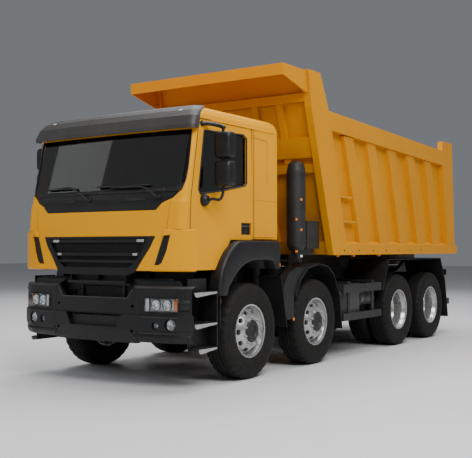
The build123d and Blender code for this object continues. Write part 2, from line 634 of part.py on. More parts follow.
def pod_blank(side):
    """Corner piece below the door's window line: bows out past the cab's side to the door's front edge."""
    outer = ThreePointArc((1222, side * 740, POD_LOW_Z), (1186, side * 1060, POD_LOW_Z),
                          (1068, side * HALF_WIDTH, POD_LOW_Z))
    inner = Polyline((1068, side * HALF_WIDTH, POD_LOW_Z), (1068, side * (CAB_HALF_WIDTH - 30), POD_LOW_Z),
                     (1120, side * (CAB_HALF_WIDTH - 34), POD_LOW_Z), (1160, side * 1040, POD_LOW_Z),
                     (1190, side * 740, POD_LOW_Z), (1222, side * 740, POD_LOW_Z))
    shape = extrude(make_face([outer, inner]), amount=POD_HIGH_Z - POD_LOW_Z, dir=(0, 0, 1))
    shape = fillet(shape.edges().filter_by(GeomType.CIRCLE), 20)
    keep = [(side * y, z) for y, z in POD_FRONT + [(HALF_WIDTH + 20, POD_LOW_Z),
            (HALF_WIDTH + 20, POD_HIGH_Z)]]
    return shape & slab(keep, "x", *DEEP)


def vent_cut(side):
    return slab([(side * y, z) for y, z in VENT], "x", 1100, 1400)


def pod(side):
    blank = pod_blank(side)
    return blank - (vent_cut(side) - Pos(-VENT_DEPTH, 0, 0) * blank)


def vent_insert(side):
    """Dark sheet at the bottom of a corner piece's vent."""
    blank = pod_blank(side)
    return (vent_cut(side) & Pos(8 - VENT_DEPTH, 0, 0) * blank) - Pos(-VENT_DEPTH, 0, 0) * blank


def cab_front_panels():
    panel = nose_band(PANEL_BOTTOM_Z, COWL_Z, 0, PANEL_DEPTH) - door_space()
    panel -= slab(GRILLE, "x", *DEEP) + slab(APERTURE, "x", *DEEP)
    for side in SIDES.values():
        below = POD_FRONT + [(HALF_WIDTH, POD_LOW_Z), (HALF_WIDTH, POD_HIGH_Z)]
        panel -= slab([(side * y, z) for y, z in below], "x", *DEEP)
        (y0, z0), (y1, z1) = SEAM
        gap = [(y0 - 3, z0 + 9), (y0 + 3, z0 + 9), (y1 + 3, z1), (y1 - 3, z1)]
        panel -= slab([(side * y, z) for y, z in gap], "x", *DEEP)
    return [panel, pod(1), pod(-1)]


def cab_grille():
    """Dark surround with a mouth of deep slats, a backing, and the skirt between the bumper's shoulders."""
    surround = nose_band(1182, 1600, -4, PANEL_DEPTH + 4) & slab(GRILLE, "x", *DEEP)
    surround -= slab(GRILLE_MOUTH, "x", *DEEP)
    backing = nose_band(1240, 1600, PANEL_DEPTH, 12) & slab(GRILLE, "x", *DEEP)
    grille = surround + backing
    mouth = slab(GRILLE_MOUTH, "x", *DEEP)
    for low, high in ((1312, 1344), (1386, 1420), (1530, 1566)):
        grille += nose_band(low, high, 2, PANEL_DEPTH) & mouth
    skirt = block((1130, 1142), (-420, 420), (1065, 1240))
    shelf = block((1130, 1206), (-420, 420), (1240, 1252))
    lip = nose_band(1090, 1118, 12, 26) & block(DEEP, (-420, 420), (0, 3000))
    stiles = None
    for y in (-400, 0, 400):
        stile = block((1140, 1196), (y - 8, y + 8), (1090, 1240))
        stiles = stile if stiles is None else stiles + stile
    return grille + skirt + shelf + lip + stiles


def cab_cowl():
    """Strip under the windscreen: a grey lip, then the sunk trough where the wipers stand."""
    lip = nose_band(1868, 1934, 4, 30)
    trough = nose_band(1934, GLASS_LOW_Z, 16, 18)
    return (lip + trough) & slab(APERTURE, "x", *DEEP)


def cab_floor():
    line = [(1090, CAB_FLOOR_Z), (560, CAB_FLOOR_Z), (360, 1370), (CAB_BACK_X + CAB_SHEET, 1370)]
    floor = slab(strip(line, -36), "y", -1100, 1100)
    hump = slab([(500, 1280), (430, 1600), (-640, 1600), (-640, 1380)], "y", -240, 240)
    arms = None
    tx, tz = TILT_AXIS
    for side in SIDES.values():
        y = sorted((side * 290, side * 325))
        arm = slab([(tx - 48, tz), (tx + 48, tz), (tx + 20, CAB_FLOOR_Z + 20),
                   (tx - 200, CAB_FLOOR_Z + 20)], "y", *y)
        arm += rod((tx, y[0], tz), (tx, y[1], tz), 56)
        arm -= rod((tx, y[0] - 5, tz), (tx, y[1] + 5, tz), 30 + RUNNING_GAP)
        arms = arm if arms is None else arms + arm
    return floor + hump + arms


QUARTER_RECESS = [(-160, 2745), (-430, 2730), (-455, 2700), (-455, 2230), (-425, 2185), (-160, 2215)]


def cab_rear_shell():
    w, t = CAB_HALF_WIDTH, CAB_SHEET
    b = CAB_BACK_X
    outer = block((b, -130), (-w, w), (1373, HEADER_Z))
    outer = fillet(outer.edges().filter_by(Axis.Z).group_by(Axis.X)[0], 80)
    inner = block((b + t, 0), (t - w, w - t), (1300, HEADER_Z + 50))
    inner = fillet(inner.edges().filter_by(Axis.Z).group_by(Axis.X)[0], 40)
    shell = outer - inner
    shell -= block((b + t, 200), (-w - 10, w + 10), (1300, 1573))
    for side in SIDES.values():
        shell -= slab(QUARTER_RECESS, "y", *sorted((side * (w - 7), side * (w + 10))))
    return shell


# Cab roof, rings from the gutter up. Columns: height, front x, rear x, half width.
ROOF = [(2840, 930, -730, CAB_HALF_WIDTH), (2890, 905, -724, 1143), (2940, 855, -704, 1118),
        (2975, 785, -668, 1072), (ROOF_TOP_Z, 680, -600, 985)]


def cab_roof():
    def ring(z, front, back, half):
        corner = 80
        return Plane.XY.offset(z) * Pos((front + back) / 2, 0) * RectangleRounded(front - back, 2 * half,
                                                                                  corner)

    def shell(rings):
        return loft([ring(*r) for r in rings], ruled=True)
    inner = [(z - 28, front - 40, back + 40, half - 42) for z, front, back, half in ROOF[1:]]
    inner.insert(0, (HEADER_Z - 1, 885, -690, CAB_HALF_WIDTH - CAB_SHEET))
    return shell(ROOF) - shell(inner)


def sun_visor():
    """Moulded visor that wraps round both top corners of the face."""
    def section(z, front, half, corner, end_x):
        def line(back):
            shoulder = front - back - 30
            side = half - back
            straight = side - corner
            return [Line((end_x, -side, z), (shoulder - corner, -side, z)),
                    ThreePointArc((shoulder - corner, -side, z),
                                  (shoulder - 0.293 * corner, -side + 0.293 * corner, z),
                                  (shoulder, -straight, z)),
                    ThreePointArc((shoulder, -straight, z), (front - back, 0, z), (shoulder, straight, z)),
                    ThreePointArc((shoulder, straight, z),
                                  (shoulder - 0.293 * corner, side - 0.293 * corner, z),
                                  (shoulder - corner, side, z)),
                    Line((shoulder - corner, side, z), (end_x, side, z))]
        outer, inner = line(0), line(24)
        return make_face(outer + inner + [Line(outer[0] @ 0, inner[0] @ 0),
                         Line(outer[-1] @ 1, inner[-1] @ 1)])
    # Columns: height, foremost x, half width, corner, rear x of the ends.
    table = [(2722, 1078, 1182, 60, 945), (2760, 1074, 1180, 60, 925), (2860, 1030, 1168, 70, 900),
             (2930, 965, 1140, 80, 835), (2975, 890, 1105, 90, 745), (3003, 805, 1050, 90, 660)]
    sections = [section(*row) for row in table]
    return loft(sections, ruled=True)


ARCH_OUTER = [(651, 962), (602, 1225), (355, 1480), (309, 1555), (-575, 1555), (-603, 1520), (-603, 1226)]
# The same corners on the outboard face, inside the bevel.
ARCH_FACE = [(625, 962), (574, 1212), (332, 1452), (290, 1522), (-566, 1522), (-586, 1500), (-586, 1226)]
ARCH_INNER = [(-480, 1226), (-460, 1300), (-83, 1334), (162, 1288), (354, 1161), (509, 962)]


def cab_arches():
    """Wheel arch trims, one each side: a deep ring whose outer edge is bevelled."""
    arches = []
    for side in SIDES.values():
        ring = slab(ARCH_OUTER + ARCH_INNER, "y", *sorted((side * 1100, side * (HALF_WIDTH - 34))))
        base = [(x, side * (HALF_WIDTH - 34), z) for x, z in ARCH_OUTER + ARCH_INNER]
        crown = [(x, side * HALF_WIDTH, z) for x, z in ARCH_FACE + ARCH_INNER]
        lip = loft([make_face(Polyline(*base, close=True)), make_face(Polyline(*crown, close=True))],
                   ruled=True)
        arches.append(ring + lip)
    return arches


def cab_dash():
    dash = slab([(1100, 1640), (1100, 1985), (960, 1985), (760, 1900), (700, 1800), (760, 1650),
                 (900, 1640)], "y", -1090, 1090)
    edge = nose_line(1985, 84, 1640, 690)
    inside = make_face(edge + [Line(edge[0] @ 0, edge[-1] @ 1)])
    dash &= extrude(inside, amount=345, dir=(0, 0, 1))
    column = rod((850, SEAT_Y, 1780), (505, SEAT_Y, 1968), 38)
    rim_plane = Plane((500, SEAT_Y, 1971), z_dir=(330, 0, -180))
    wheel = rim_plane * Torus(225, 15)
    spokes = rim_plane * (Box(450, 40, 16) + Cylinder(60, 30))
    return dash + column + wheel + spokes


def cab_seats():
    seats = []
    for y in (SEAT_Y, -SEAT_Y):
        base = block((-330, 120), (y - 190, y + 190), (1406, 1500))
        cushion = fillet(block((-380, 160), (y - 250, y + 250), (1500, 1640)).edges(), 35)
        back = slab([(-380, 1600), (-240, 1600), (-380, 2250), (-480, 2250)], "y", y - 240, y + 240)
        back = fillet(back.edges(), 30)
        head = fillet(slab([(-420, 2255), (-500, 2255), (-540, 2440), (-460, 2440)], "y", y - 130,
                      y + 130).edges(), 25)
        posts = rod((-450, y, 2230), (-470, y, 2280), 20)
        seats.append(base + cushion + back + posts + head)
    return seats


DOOR = [(880, 2826), (906, 2709), (1030, 1981), (1050, 1454), (1058, CAB_FLOOR_Z), (608, CAB_FLOOR_Z),
        (366, 1486), (312, 1562), (-122, 1562), (-122, 2200), (-100, 2826)]
DOOR_WINDOW = [(806, 2716), (66, 2748), (-9, 2715), (-10, 2204), (27, 2175), (469, 2094), (878, 2039),
               (905, 2080)]


def door(side):
    y = sorted((side * (CAB_HALF_WIDTH - CAB_SHEET), side * CAB_HALF_WIDTH))
    panel = slab(DOOR, "y", *y)
    panel -= slab(DOOR_WINDOW, "y", y[0] - 5, y[1] + 5)
    panel -= block((-100, 100), sorted((side * (CAB_HALF_WIDTH - 18), side * (CAB_HALF_WIDTH + 5))),
                   (1620, 1754))
    return panel


def door_glass(side):
    y = sorted((side * (CAB_HALF_WIDTH - 26), side * (CAB_HALF_WIDTH - 20)))
    return slab(DOOR_WINDOW, "y", *y)


def mirrors(side):
    y = CAB_HALF_WIDTH
    path = [(827, y, 1963), (835, 1345, 2040), (835, 1345, 2740), (830, y, 2780)]
    points = [(x, side * yy, z) for x, yy, z in path]
    arm = None
    for a, b in zip(points, points[1:]):
        part = rod(a, b, 15)
        arm = part if arm is None else arm + part
    for p in points[1:-1]:
        arm += Pos(*p) * Sphere(15)
    arm &= block((0, 2000), sorted((side * y, side * 1500)), (0, 4000))
    for z0, z1 in ((2425, 2687), (2110, 2345)):
        head = block((790, 860), sorted((side * 1240, side * 1450)), (z0, z1))
        arm += fillet(head.edges().filter_by(Axis.X), 30)
    return arm


# ---------------------------------------------------------------- dump body
RAIL_SLOPE = BODY_RAIL_DROP / 4095.0
SHEET_Y = HALF_WIDTH - RIB_DEPTH
SHEET_INNER = SHEET_Y - BODY_SHEET
WALL_TOP = 3434
WALL_BACK = 92             # load side of the front wall, behind the post's front face
FLOOR_TOP = 1455
# Ribs: front edge's x at the top and at the bottom.
RIBS = [(-2284, -2752), (-2997, -3419), (-3712, -4151), (-4422, -4845), (-5160, -5513)]
RIB_TOP_Z = 2970           # heights at which the table states them
RIB_LOW_Z = 1576
RIB_WIDTH = 300
RIB_STAND = 64             # ribs stand a little less proud than the rails
RAIL_LOW_TOP = 1560
RAIL_END_X = -5960         # the top rail's rear end, inside the rear post
POST_FOOT_Z = 1490         # the rear post's foot, inside the bottom rail


def rail_top(x):
    """Height of the top rail's upper face."""
    return BODY_TOP_RAIL_Z + RAIL_SLOPE * (x + 1810)


def pressing(corners, depth, draft):
    """Pressed section standing out of the side sheet: the outline at the sheet, drawn in at its face."""
    base = make_face(Polyline(*[(x, SHEET_Y, z) for x, z in corners], close=True))
    crown = make_face(Polyline(*[(x, SHEET_Y + depth, z) for x, z in draft], close=True))
    return loft([base, crown], ruled=True)


def body_side():
    foot = BODY_FRONT_FOOT_X
    def lean(z):
        return foot + BODY_LEAN * (z - BODY_BOTTOM)
    sheet = slab([(foot, BODY_BOTTOM), (lean(3264), 3264), (-1810, rail_top(-1810) - 10),
                 (-6380, rail_top(-6380) - 10),
                  (-6500, BODY_BOTTOM)], "y", SHEET_Y - BODY_SHEET, SHEET_Y)
    post = slab([(foot, BODY_BOTTOM), (-1340, 3270), (-1270, BODY_TOP), (-1580, BODY_TOP), (-1810, 3264),
                (-1897, 3020),
                 (-2300, BODY_BOTTOM + 160), (-2300, BODY_BOTTOM)], "y", SHEET_INNER, HALF_WIDTH)
    top = slab([(-1810, rail_top(-1810)), (-1897, rail_top(-1897) - BODY_RAIL_HEIGHT),
                (RAIL_END_X, rail_top(RAIL_END_X) - BODY_RAIL_HEIGHT), (RAIL_END_X, rail_top(RAIL_END_X))],
               "y", SHEET_Y, HALF_WIDTH)
    ledge = [(HALF_WIDTH, BODY_BOTTOM), (HALF_WIDTH, RAIL_LOW_TOP - 34), (SHEET_Y, RAIL_LOW_TOP + 12),
             (SHEET_Y, BODY_BOTTOM)]
    bottom = slab(ledge, "x", -6470, -2300)
    bottom += slab([(-6470, BODY_BOTTOM), (-6470, 1535), (BODY_REAR_X, 1500), (BODY_REAR_X, BODY_BOTTOM)],
                   "y", SHEET_Y, HALF_WIDTH)
    rear = slab([(-5935, 3262), (-5940, 3296), (-6390, 3300), (-6498, POST_FOOT_Z), (-6157, POST_FOOT_Z),
                 (-5905, 3100)], "y", SHEET_Y, HALF_WIDTH)
    side = sheet + post + top + bottom + rear
    for x_top, x_low in RIBS:
        run = (x_low - x_top) / (RIB_LOW_Z - RIB_TOP_Z)
        up = RIB_TOP_Z + 20
        down = RAIL_LOW_TOP - 30
        base = [(x_low + run * (down - RIB_LOW_Z), down), (x_top + run * (up - RIB_TOP_Z), up),
                (x_top + run * (up - RIB_TOP_Z) - RIB_WIDTH, up), (x_low + run * (down - RIB_LOW_Z) - RIB_WIDTH,
                                                               down)]
        crown = [(base[0][0] - 6, down), (base[1][0] - 6, up), (base[2][0] + 16, up),
                 (base[3][0] + 16, down)]
        side += pressing(base, RIB_STAND, crown)
    for z, x0, x1 in ((2160, -2140, -2500), (1830, -2250, -2600)):
        side += block((x1, x0), (SHEET_Y, HALF_WIDTH - 6), (z - 14, z + 14))
    return side


def body_sides():
    left = body_side()
    return [left, other_side(left)]


def body_floor():
    inner = SHEET_INNER
    foot = BODY_FRONT_FOOT_X
    plate = slab([(-6480, 1440), (front_wall_x(1440, WALL_BACK), 1440),
                 (front_wall_x(FLOOR_TOP, WALL_BACK), FLOOR_TOP),
                  (-6480, FLOOR_TOP)], "y", -inner, inner)
    bearers = None
    for x in [foot - 150 - 410 * i for i in range(11)]:
        part = block((x - 35, x + 35), (-inner, inner), (1385, 1440))
        bearers = part if bearers is None else bearers + part
    runner_front = front_wall_x(BODY_BOTTOM, WALL_BACK) - 2
    runner = block((-6480, runner_front), (445, 505), (SUBFRAME_TOP + 14, 1440))
    tx, tz = TIP_AXIS
    ring = rod((tx, 445, tz), (tx, 505, tz), 62)
    bore = rod((tx, 440, tz), (tx, 510, tz), 32 + RUNNING_GAP)
    beam = (runner + ring) - bore - block((-6490, -6372), (440, 510), (1100, 1300))
    return plate + bearers + beam + other_side(beam)


def front_wall_x(z, back):
    return BODY_FRONT_FOOT_X + BODY_LEAN * (z - BODY_BOTTOM) - back


def body_front_wall():
    inner = SHEET_INNER

    def leaning(z0, z1, back, thick, y):
        return slab([(front_wall_x(z0, back), z0), (front_wall_x(z1, back), z1),
                    (front_wall_x(z1, back + thick), z1),
                     (front_wall_x(z0, back + thick), z0)], "y", -y, y)
    wall = leaning(BODY_BOTTOM + 5, WALL_TOP, WALL_BACK - 12, 12, inner)
    for z0, z1 in ((BODY_BOTTOM + 5, 1560), (2450, 2560), (2640, 2900), (3330, WALL_TOP)):
        wall += leaning(z0, z1, 20, 70, inner)
    for y in (-760, -380, 380, 760):
        rib = slab([(front_wall_x(1500, 30), 1500), (front_wall_x(3380, 30), 3380),
                    (front_wall_x(3380, 85), 3380), (front_wall_x(1500, 85), 1500)], "y", y - 45, y + 45)
        wall += rib
    ex, ez = HOIST_EYE
    for side in SIDES.values():
        cheek = slab([(front_wall_x(ez + 160, 85), ez + 160), (ex + 40, ez + 60), (ex + 60, ez),
                     (ex + 30, ez - 60),
                      (front_wall_x(ez - 280, 85), ez - 280)], "y", *sorted((side * 95, side * 120)))
        cheek += rod((ex, side * 95, ez), (ex, side * 150, ez), 40)
        wall += cheek
    return wall


def body_canopy():
    y = 1210
    top = block((-1268, -720), (-y, y), (3690, 3707)) + block((-1600, -1268), (-SHEET_INNER, SHEET_INNER),
                                                              (3690, 3707))
    lip = block((-740, -720), (-y, y), (3567, 3690))
    back = slab([(front_wall_x(WALL_TOP, 80), WALL_TOP), (front_wall_x(3690, 80), 3690),
                 (front_wall_x(3690, 92), 3690), (front_wall_x(WALL_TOP, 92), WALL_TOP)], "y",
                 -SHEET_INNER, SHEET_INNER)
    shape = top + lip + back
    for side in SIDES.values():
        shape += slab([(-722, 3567), (-722, 3700), (-1270, 3700), (-1312, 3434), (-1270, 3434)],
                      "y", *sorted((side * (y - 14), side * y)))
        shape += slab([(-1262, 3700), (-1305, 3434), (front_wall_x(3434, 92), 3434),
                      (front_wall_x(3700, 92), 3700)],
                      "y", *sorted((side * (SHEET_INNER - 14), side * SHEET_INNER)))
    return shape


def tailgate():
    y = SHEET_Y - BODY_SHEET - PART_GAP
    gx, gz = GATE_AXIS
    plate = block((-6530, -6516), (-y, y), (1462, 3100))
    shape = plate
    for z in (1500, 2020, 2540, 3040):
        shape += block((-6600, -6530), (-y, y), (z - 40, z + 60))
    for py in (-y + 60, -380, 380, y - 60):
        shape += block((-6590, -6530), (py - 50, py + 50), (1462, 3100))
    for side in SIDES.values():
        arm = slab([(gx + 50, gz - 40), (gx - 10, gz + 62), (-6530, 3160), (-6530, 3000), (-6500, 3000),
                    (-6360, 3150)], "y", *sorted((side * (y - 60), side * (y - 10))))
        shape += arm
        shape += block((TAIL_X, -6600), sorted((side * 900, side * 960)), (1480, 1560))
    return shape


# ---------------------------------------------------------------- hoist
def hoist_point(distance):
    """Point on the hoist's line at a distance above its lower pin."""
    fx, fz = HOIST_FOOT
    ex, ez = HOIST_EYE
    reach = hypot(ex - fx, ez - fz)
    return (fx + (ex - fx) * distance / reach, 0, fz + (ez - fz) * distance / reach)


# Tubes of the hoist: outer radius, bore radius, where each starts and ends along the hoist.
HOIST = [("hoist_barrel", 112, 100, 60, 1360), ("hoist_stage_1", 96, 84, 72, 1385),
         ("hoist_stage_2", 80, 68, 84, 1410), ("hoist_stage_3", 64, 0, 96, 1450)]


def hoist_part(name, radius, bore, start, end):
    tube = rod(hoist_point(start), hoist_point(end), radius)
    if bore:
        tube -= rod(hoist_point(start + 6), hoist_point(end + 5), bore)
    if name == "hoist_barrel":
        fx, fz = HOIST_FOOT
        tube += rod((fx, -70, fz), (fx, 70, fz), 68)
        tube -= rod((fx, -80, fz), (fx, 80, fz), 28 + RUNNING_GAP)
        tube += pipe(hoist_point(1200), hoist_point(1340), 124, 100)
    if name == "hoist_stage_3":
        ex, ez = HOIST_EYE
        tube += rod((ex, -45, ez), (ex, 45, ez), 58)
        tube -= rod((ex, -50, ez), (ex, 50, ez), 32)
    return tube


# ---------------------------------------------------------------- all nodes
def build():
    save("chassis_frame", chassis_frame())
    save("front_axle_beams", *[front_axle_beam(x) for x in AXLE_X[:2]])
    save("drive_axles", drive_axles())
    save("leaf_springs", *leaf_springs())
    save("powertrain", powertrain())
    save("bumper", bumper())
    save("lamps", *lamps())
    save("entry_steps", *[entry_steps(side) for side in SIDES.values()])
    save("mudguards", *mudguards())
    save("side_guards", *side_guards())
    save("tanks", *tanks())
    save("stacks", *stacks())
    save("rear_underrun", rear_underrun())
    save("cab_floor", cab_floor())
    save("cab_rear_shell", cab_rear_shell())
    save("cab_roof", cab_roof())
    save("cab_front_frame", cab_front_frame())
    save("cab_front_panels", *cab_front_panels())
    save("cab_grille", cab_grille(), *[vent_insert(side) for side in SIDES.values()])
    save("cab_cowl", cab_cowl())
    save("windscreen", windscreen())
    save("sun_visor", sun_visor())
    save("cab_arches", *cab_arches())
    save("cab_dash", cab_dash())
    save("cab_seats", *cab_seats())
    save("body_floor", body_floor())
    save("body_sides", *body_sides())
    save("body_front_wall", body_front_wall())
    save("body_canopy", body_canopy())
    save("tailgate", tailgate())
    for name, radius, bore, start, end in HOIST:
        save(name, hoist_part(name, radius, bore, start, end))
    for word, side in SIDES.items():
        save(f"door_{word}", door(side))
        save(f"door_glass_{word}", door_glass(side))
        save(f"mirrors_{word}", mirrors(side))
        for number, x in zip(("front", "second"), AXLE_X[:2]):
            save(f"knuckle_{number}_{word}", knuckle(x, side))
            save(f"tyre_{number}_{word}", tyre(x, side * TRACK_OUTER))
            save(f"wheel_{number}_{word}", front_wheel(x, side))
        for number, x in zip(("third", "rear"), AXLE_X[2:]):
            ys = (side * TRACK_OUTER, side * (TRACK_OUTER - TWIN_SPACING))
            save(f"tyres_{number}_{word}", *[tyre(x, y) for y in ys])
            save(f"wheels_{number}_{word}", rear_wheel(x, side))


build()
os.makedirs("parts", exist_ok=True)
for name, shape in NODES.items():
    export_step(shape, f"parts/{name}.step")
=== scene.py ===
import bpy
import bmesh
import math
from mathutils import Matrix, Vector


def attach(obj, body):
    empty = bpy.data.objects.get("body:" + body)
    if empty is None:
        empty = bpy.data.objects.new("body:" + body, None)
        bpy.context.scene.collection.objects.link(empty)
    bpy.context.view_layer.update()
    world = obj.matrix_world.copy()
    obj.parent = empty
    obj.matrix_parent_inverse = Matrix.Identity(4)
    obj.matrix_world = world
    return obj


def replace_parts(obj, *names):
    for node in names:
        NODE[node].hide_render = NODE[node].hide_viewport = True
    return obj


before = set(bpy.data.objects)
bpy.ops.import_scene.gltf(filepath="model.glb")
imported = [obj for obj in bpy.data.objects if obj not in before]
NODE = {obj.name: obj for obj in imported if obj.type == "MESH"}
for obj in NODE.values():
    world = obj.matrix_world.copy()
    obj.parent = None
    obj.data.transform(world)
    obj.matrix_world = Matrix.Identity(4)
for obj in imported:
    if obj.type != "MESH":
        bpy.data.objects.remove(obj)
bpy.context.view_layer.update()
SIDES = {"left": 1, "right": -1}

# Everything below is in millimetres with x measured from the first axle, as in the part's source, and
# at() turns such a point into the frame's metres. Set-backs are measured inwards from an outer face.
SHIFT_X = 2685
AXLES = {"front": 0, "second": -1514, "third": -4145, "rear": -5430}
STEERED = ("front", "second")
TYRE_RADIUS = 538
TRACK_OUTER = 1077
TWIN_SPACING = 350


def at(x, y, z):
    return Vector(((x + SHIFT_X) / 1000, y / 1000, z / 1000))


def span(side, inner, outer):
    """The stretch between two distances from the middle plane, on one side of the truck."""
    return sorted((side * inner, side * outer))


def even(start, end, parts):
    """Evenly spaced values from start to end."""
    return [start + (end - start) * k / parts for k in range(parts + 1)]


def circle(count, shift=0):
    """Cosine and sine of evenly spaced turns, all moved on by a share of one space."""
    turns = [2 * math.pi * (k + shift) / count for k in range(count)]
    return [(math.cos(turn), math.sin(turn)) for turn in turns]


# ---- materials
MATERIAL = {}
PATCHES_PER_CLOUD = 7
GLASS_ROUGH = 0.02
HEAD_ON = 0.045  # share of the light that glass reflects when seen straight on
STEEPNESS = 5  # power with which the rest of it grows to the edge


def new_material(name):
    mat = bpy.data.materials.new(name)
    mat.use_nodes = True
    MATERIAL[name] = mat
    return mat.node_tree


def put(node, values):
    """Values on a node's inputs, by name or number."""
    for socket, value in dict(values).items():
        node.inputs[socket].default_value = value


def add(tree, kind, values=()):
    node = tree.nodes.new("ShaderNode" + kind)
    put(node, values)
    return node


def two_tones(tree, factor, low, high):
    """Colour that goes from low to high with a factor socket."""
    mix = add(tree, "Mix")
    mix.data_type = "RGBA"
    put(mix, {"A": (*low, 1), "B": (*high, 1)})
    tree.links.new(factor, mix.inputs["Factor"])
    return mix


def noise(tree, scale, detail, rough=0.6):
    """Noise over the frame's metres, so that it moves with the piece."""
    coord = add(tree, "TexCoord")
    tex = add(tree, "TexNoise", {"Scale": scale, "Detail": detail, "Roughness": rough})
    tree.links.new(coord.outputs["Object"], tex.inputs["Vector"])
    return tex.outputs["Fac"]


def spread(tree, value, low, high, start=0.3, end=0.7):
    """Map a socket's start to end onto low to high."""
    ramp = add(tree, "MapRange", {"From Min": start, "From Max": end, "To Min": low, "To Max": high})
    tree.links.new(value, ramp.inputs["Value"])
    return ramp.outputs["Result"]


def surface(name, low, high, rough, metal=0.0, cloud=1.5, grain=220.0, bump=0.1, depth=0.0006,
            sheen=0.0, specular=0.5, gleam=(1, 1, 1)):
    """Opaque finish: two tones in clouds, roughness in smaller patches, and a fine grain in the bump."""
    tree = new_material(name)
    shader = tree.nodes["Principled BSDF"]
    put(shader, {"Metallic": metal, "Specular IOR Level": specular, "Specular Tint": (*gleam, 1),
                 "Sheen Weight": sheen})
    clouds = spread(tree, noise(tree, cloud, detail=5, rough=0.62), 0, 1)
    tree.links.new(two_tones(tree, clouds, low, high).outputs["Result"], shader.inputs["Base Color"])
    patches = noise(tree, cloud * PATCHES_PER_CLOUD, detail=3, rough=0.5)
    tree.links.new(spread(tree, patches, *rough), shader.inputs["Roughness"])
    bumps = add(tree, "Bump", {"Strength": bump, "Distance": depth})
    tree.links.new(noise(tree, grain, detail=3, rough=0.55), bumps.inputs["Height"])
    tree.links.new(bumps.outputs["Normal"], shader.inputs["Normal"])


def sum_node(tree, operation, value, numbers):
    """One sum on a socket, with the numbers on its other inputs."""
    node = add(tree, "Math", numbers)
    node.operation = operation
    tree.links.new(value, node.inputs[0])
    return node.outputs["Value"]


def tinted_glass(name, tint, clear):
    """Thin tinted pane: see-through, with a reflection that grows to the edge alike from either face."""
    tree = new_material(name)
    tree.nodes.remove(tree.nodes["Principled BSDF"])
    see = add(tree, "BsdfTransparent")
    film = spread(tree, noise(tree, 2.5, detail=4), 0, 1)
    tree.links.new(two_tones(tree, film, tint, clear).outputs["Result"], see.inputs["Color"])
    gloss = add(tree, "BsdfGlossy", {"Roughness": GLASS_ROUGH})
    slant = add(tree, "LayerWeight", {"Blend": 0.5})
    steep = sum_node(tree, "POWER", slant.outputs["Facing"], {1: STEEPNESS})
    share = sum_node(tree, "MULTIPLY_ADD", steep, {1: 1 - HEAD_ON, 2: HEAD_ON})
    mix = add(tree, "MixShader")
    tree.links.new(share, mix.inputs["Fac"])
    tree.links.new(see.outputs["BSDF"], mix.inputs[1])
    tree.links.new(gloss.outputs["BSDF"], mix.inputs[2])
    tree.links.new(mix.outputs["Shader"], tree.nodes["Material Output"].inputs["Surface"])


def darken_below(mat, height, dark):
    """The same finish, with everything under a height of the frame in a dark tone."""
    tree = mat.node_tree
    base = tree.nodes["Principled BSDF"].inputs["Base Color"]
    was = base.links[0].from_socket
    coord = add(tree, "TexCoord")
    split = add(tree, "SeparateXYZ")
    tree.links.new(coord.outputs["Object"], split.inputs["Vector"])
    edge = spread(tree, split.outputs["Z"], 0, 1, height - 0.0005, height + 0.0005)
    mix = two_tones(tree, edge, dark, dark)
    tree.links.new(was, mix.inputs["B"])
    tree.links.new(mix.outputs["Result"], base)


# What the yellows share, and below each finish: name, two tones, roughness from and to, what is unusual.
LACQUER = {"cloud": 0.9, "grain": 500, "bump": 0.05, "depth": 0.0003, "specular": 0.4,
           "gleam": (1, 0.72, 0.16)}
BODY_YELLOW = ((0.60, 0.235, 0.0), (0.67, 0.27, 0.0), (0.4, 0.52))
SKIRT_TOP = 1.439  # metres: under it the body's floor is drawn in a dark tone

surface("yellow_paint", (0.72, 0.30, 0.0), (0.79, 0.34, 0.0), (0.38, 0.5), **LACQUER)
surface("chassis_paint", (0.009, 0.009, 0.009), (0.022, 0.021, 0.02), (0.45, 0.7), cloud=4)
surface("dark_plastic", (0.007, 0.007, 0.0075), (0.012, 0.012, 0.0125), (0.4, 0.52), cloud=2.5, grain=900,
        bump=0.2, depth=0.0003, specular=0.35)
surface("grey_trim", (0.03, 0.028, 0.0265), (0.042, 0.039, 0.037), (0.5, 0.62), cloud=2, grain=900,
        bump=0.25, depth=0.0003)
tinted_glass("glass", (0.30, 0.335, 0.325), (0.36, 0.395, 0.385))
tinted_glass("lamp_lens", (0.9, 0.92, 0.93), (0.96, 0.96, 0.96))
surface("tread_plate", (0.03, 0.03, 0.03), (0.06, 0.058, 0.055), (0.4, 0.6), metal=0.3, cloud=5)
surface("tank_metal", (0.03, 0.03, 0.031), (0.055, 0.053, 0.05), (0.35, 0.5), cloud=3)
surface("interior_plastic", (0.04, 0.04, 0.042), (0.06, 0.06, 0.06), (0.6, 0.8), cloud=6)
surface("seat_fabric", (0.05, 0.05, 0.055), (0.08, 0.08, 0.085), (0.8, 0.95), cloud=30, sheen=0.3)
surface("hoist_steel", (0.33, 0.33, 0.34), (0.42, 0.42, 0.42), (0.22, 0.34), metal=0.95, cloud=6)
surface("tyre", (0.006, 0.0055, 0.005), (0.013, 0.0115, 0.01), (0.62, 0.8), cloud=9, grain=350, bump=0.3,
        specular=0.25)
surface("wheel_paint", (0.42, 0.42, 0.415), (0.47, 0.47, 0.465), (0.26, 0.3), metal=0.75, cloud=2, bump=0.01)
surface("bright", (0.62, 0.62, 0.61), (0.74, 0.74, 0.73), (0.2, 0.34), metal=0.85, cloud=12)
surface("mirror", (0.78, 0.79, 0.8), (0.86, 0.87, 0.88), (0.04, 0.1), metal=1.0, cloud=6, bump=0.02)
surface("amber", (0.72, 0.17, 0.01), (0.85, 0.24, 0.015), (0.12, 0.22), cloud=14, grain=700, bump=0.3)
surface("red", (0.42, 0.012, 0.01), (0.55, 0.02, 0.015), (0.12, 0.22), cloud=14, grain=700, bump=0.3)
surface("white_lens", (0.78, 0.8, 0.82), (0.88, 0.89, 0.9), (0.08, 0.18), cloud=14, grain=700)
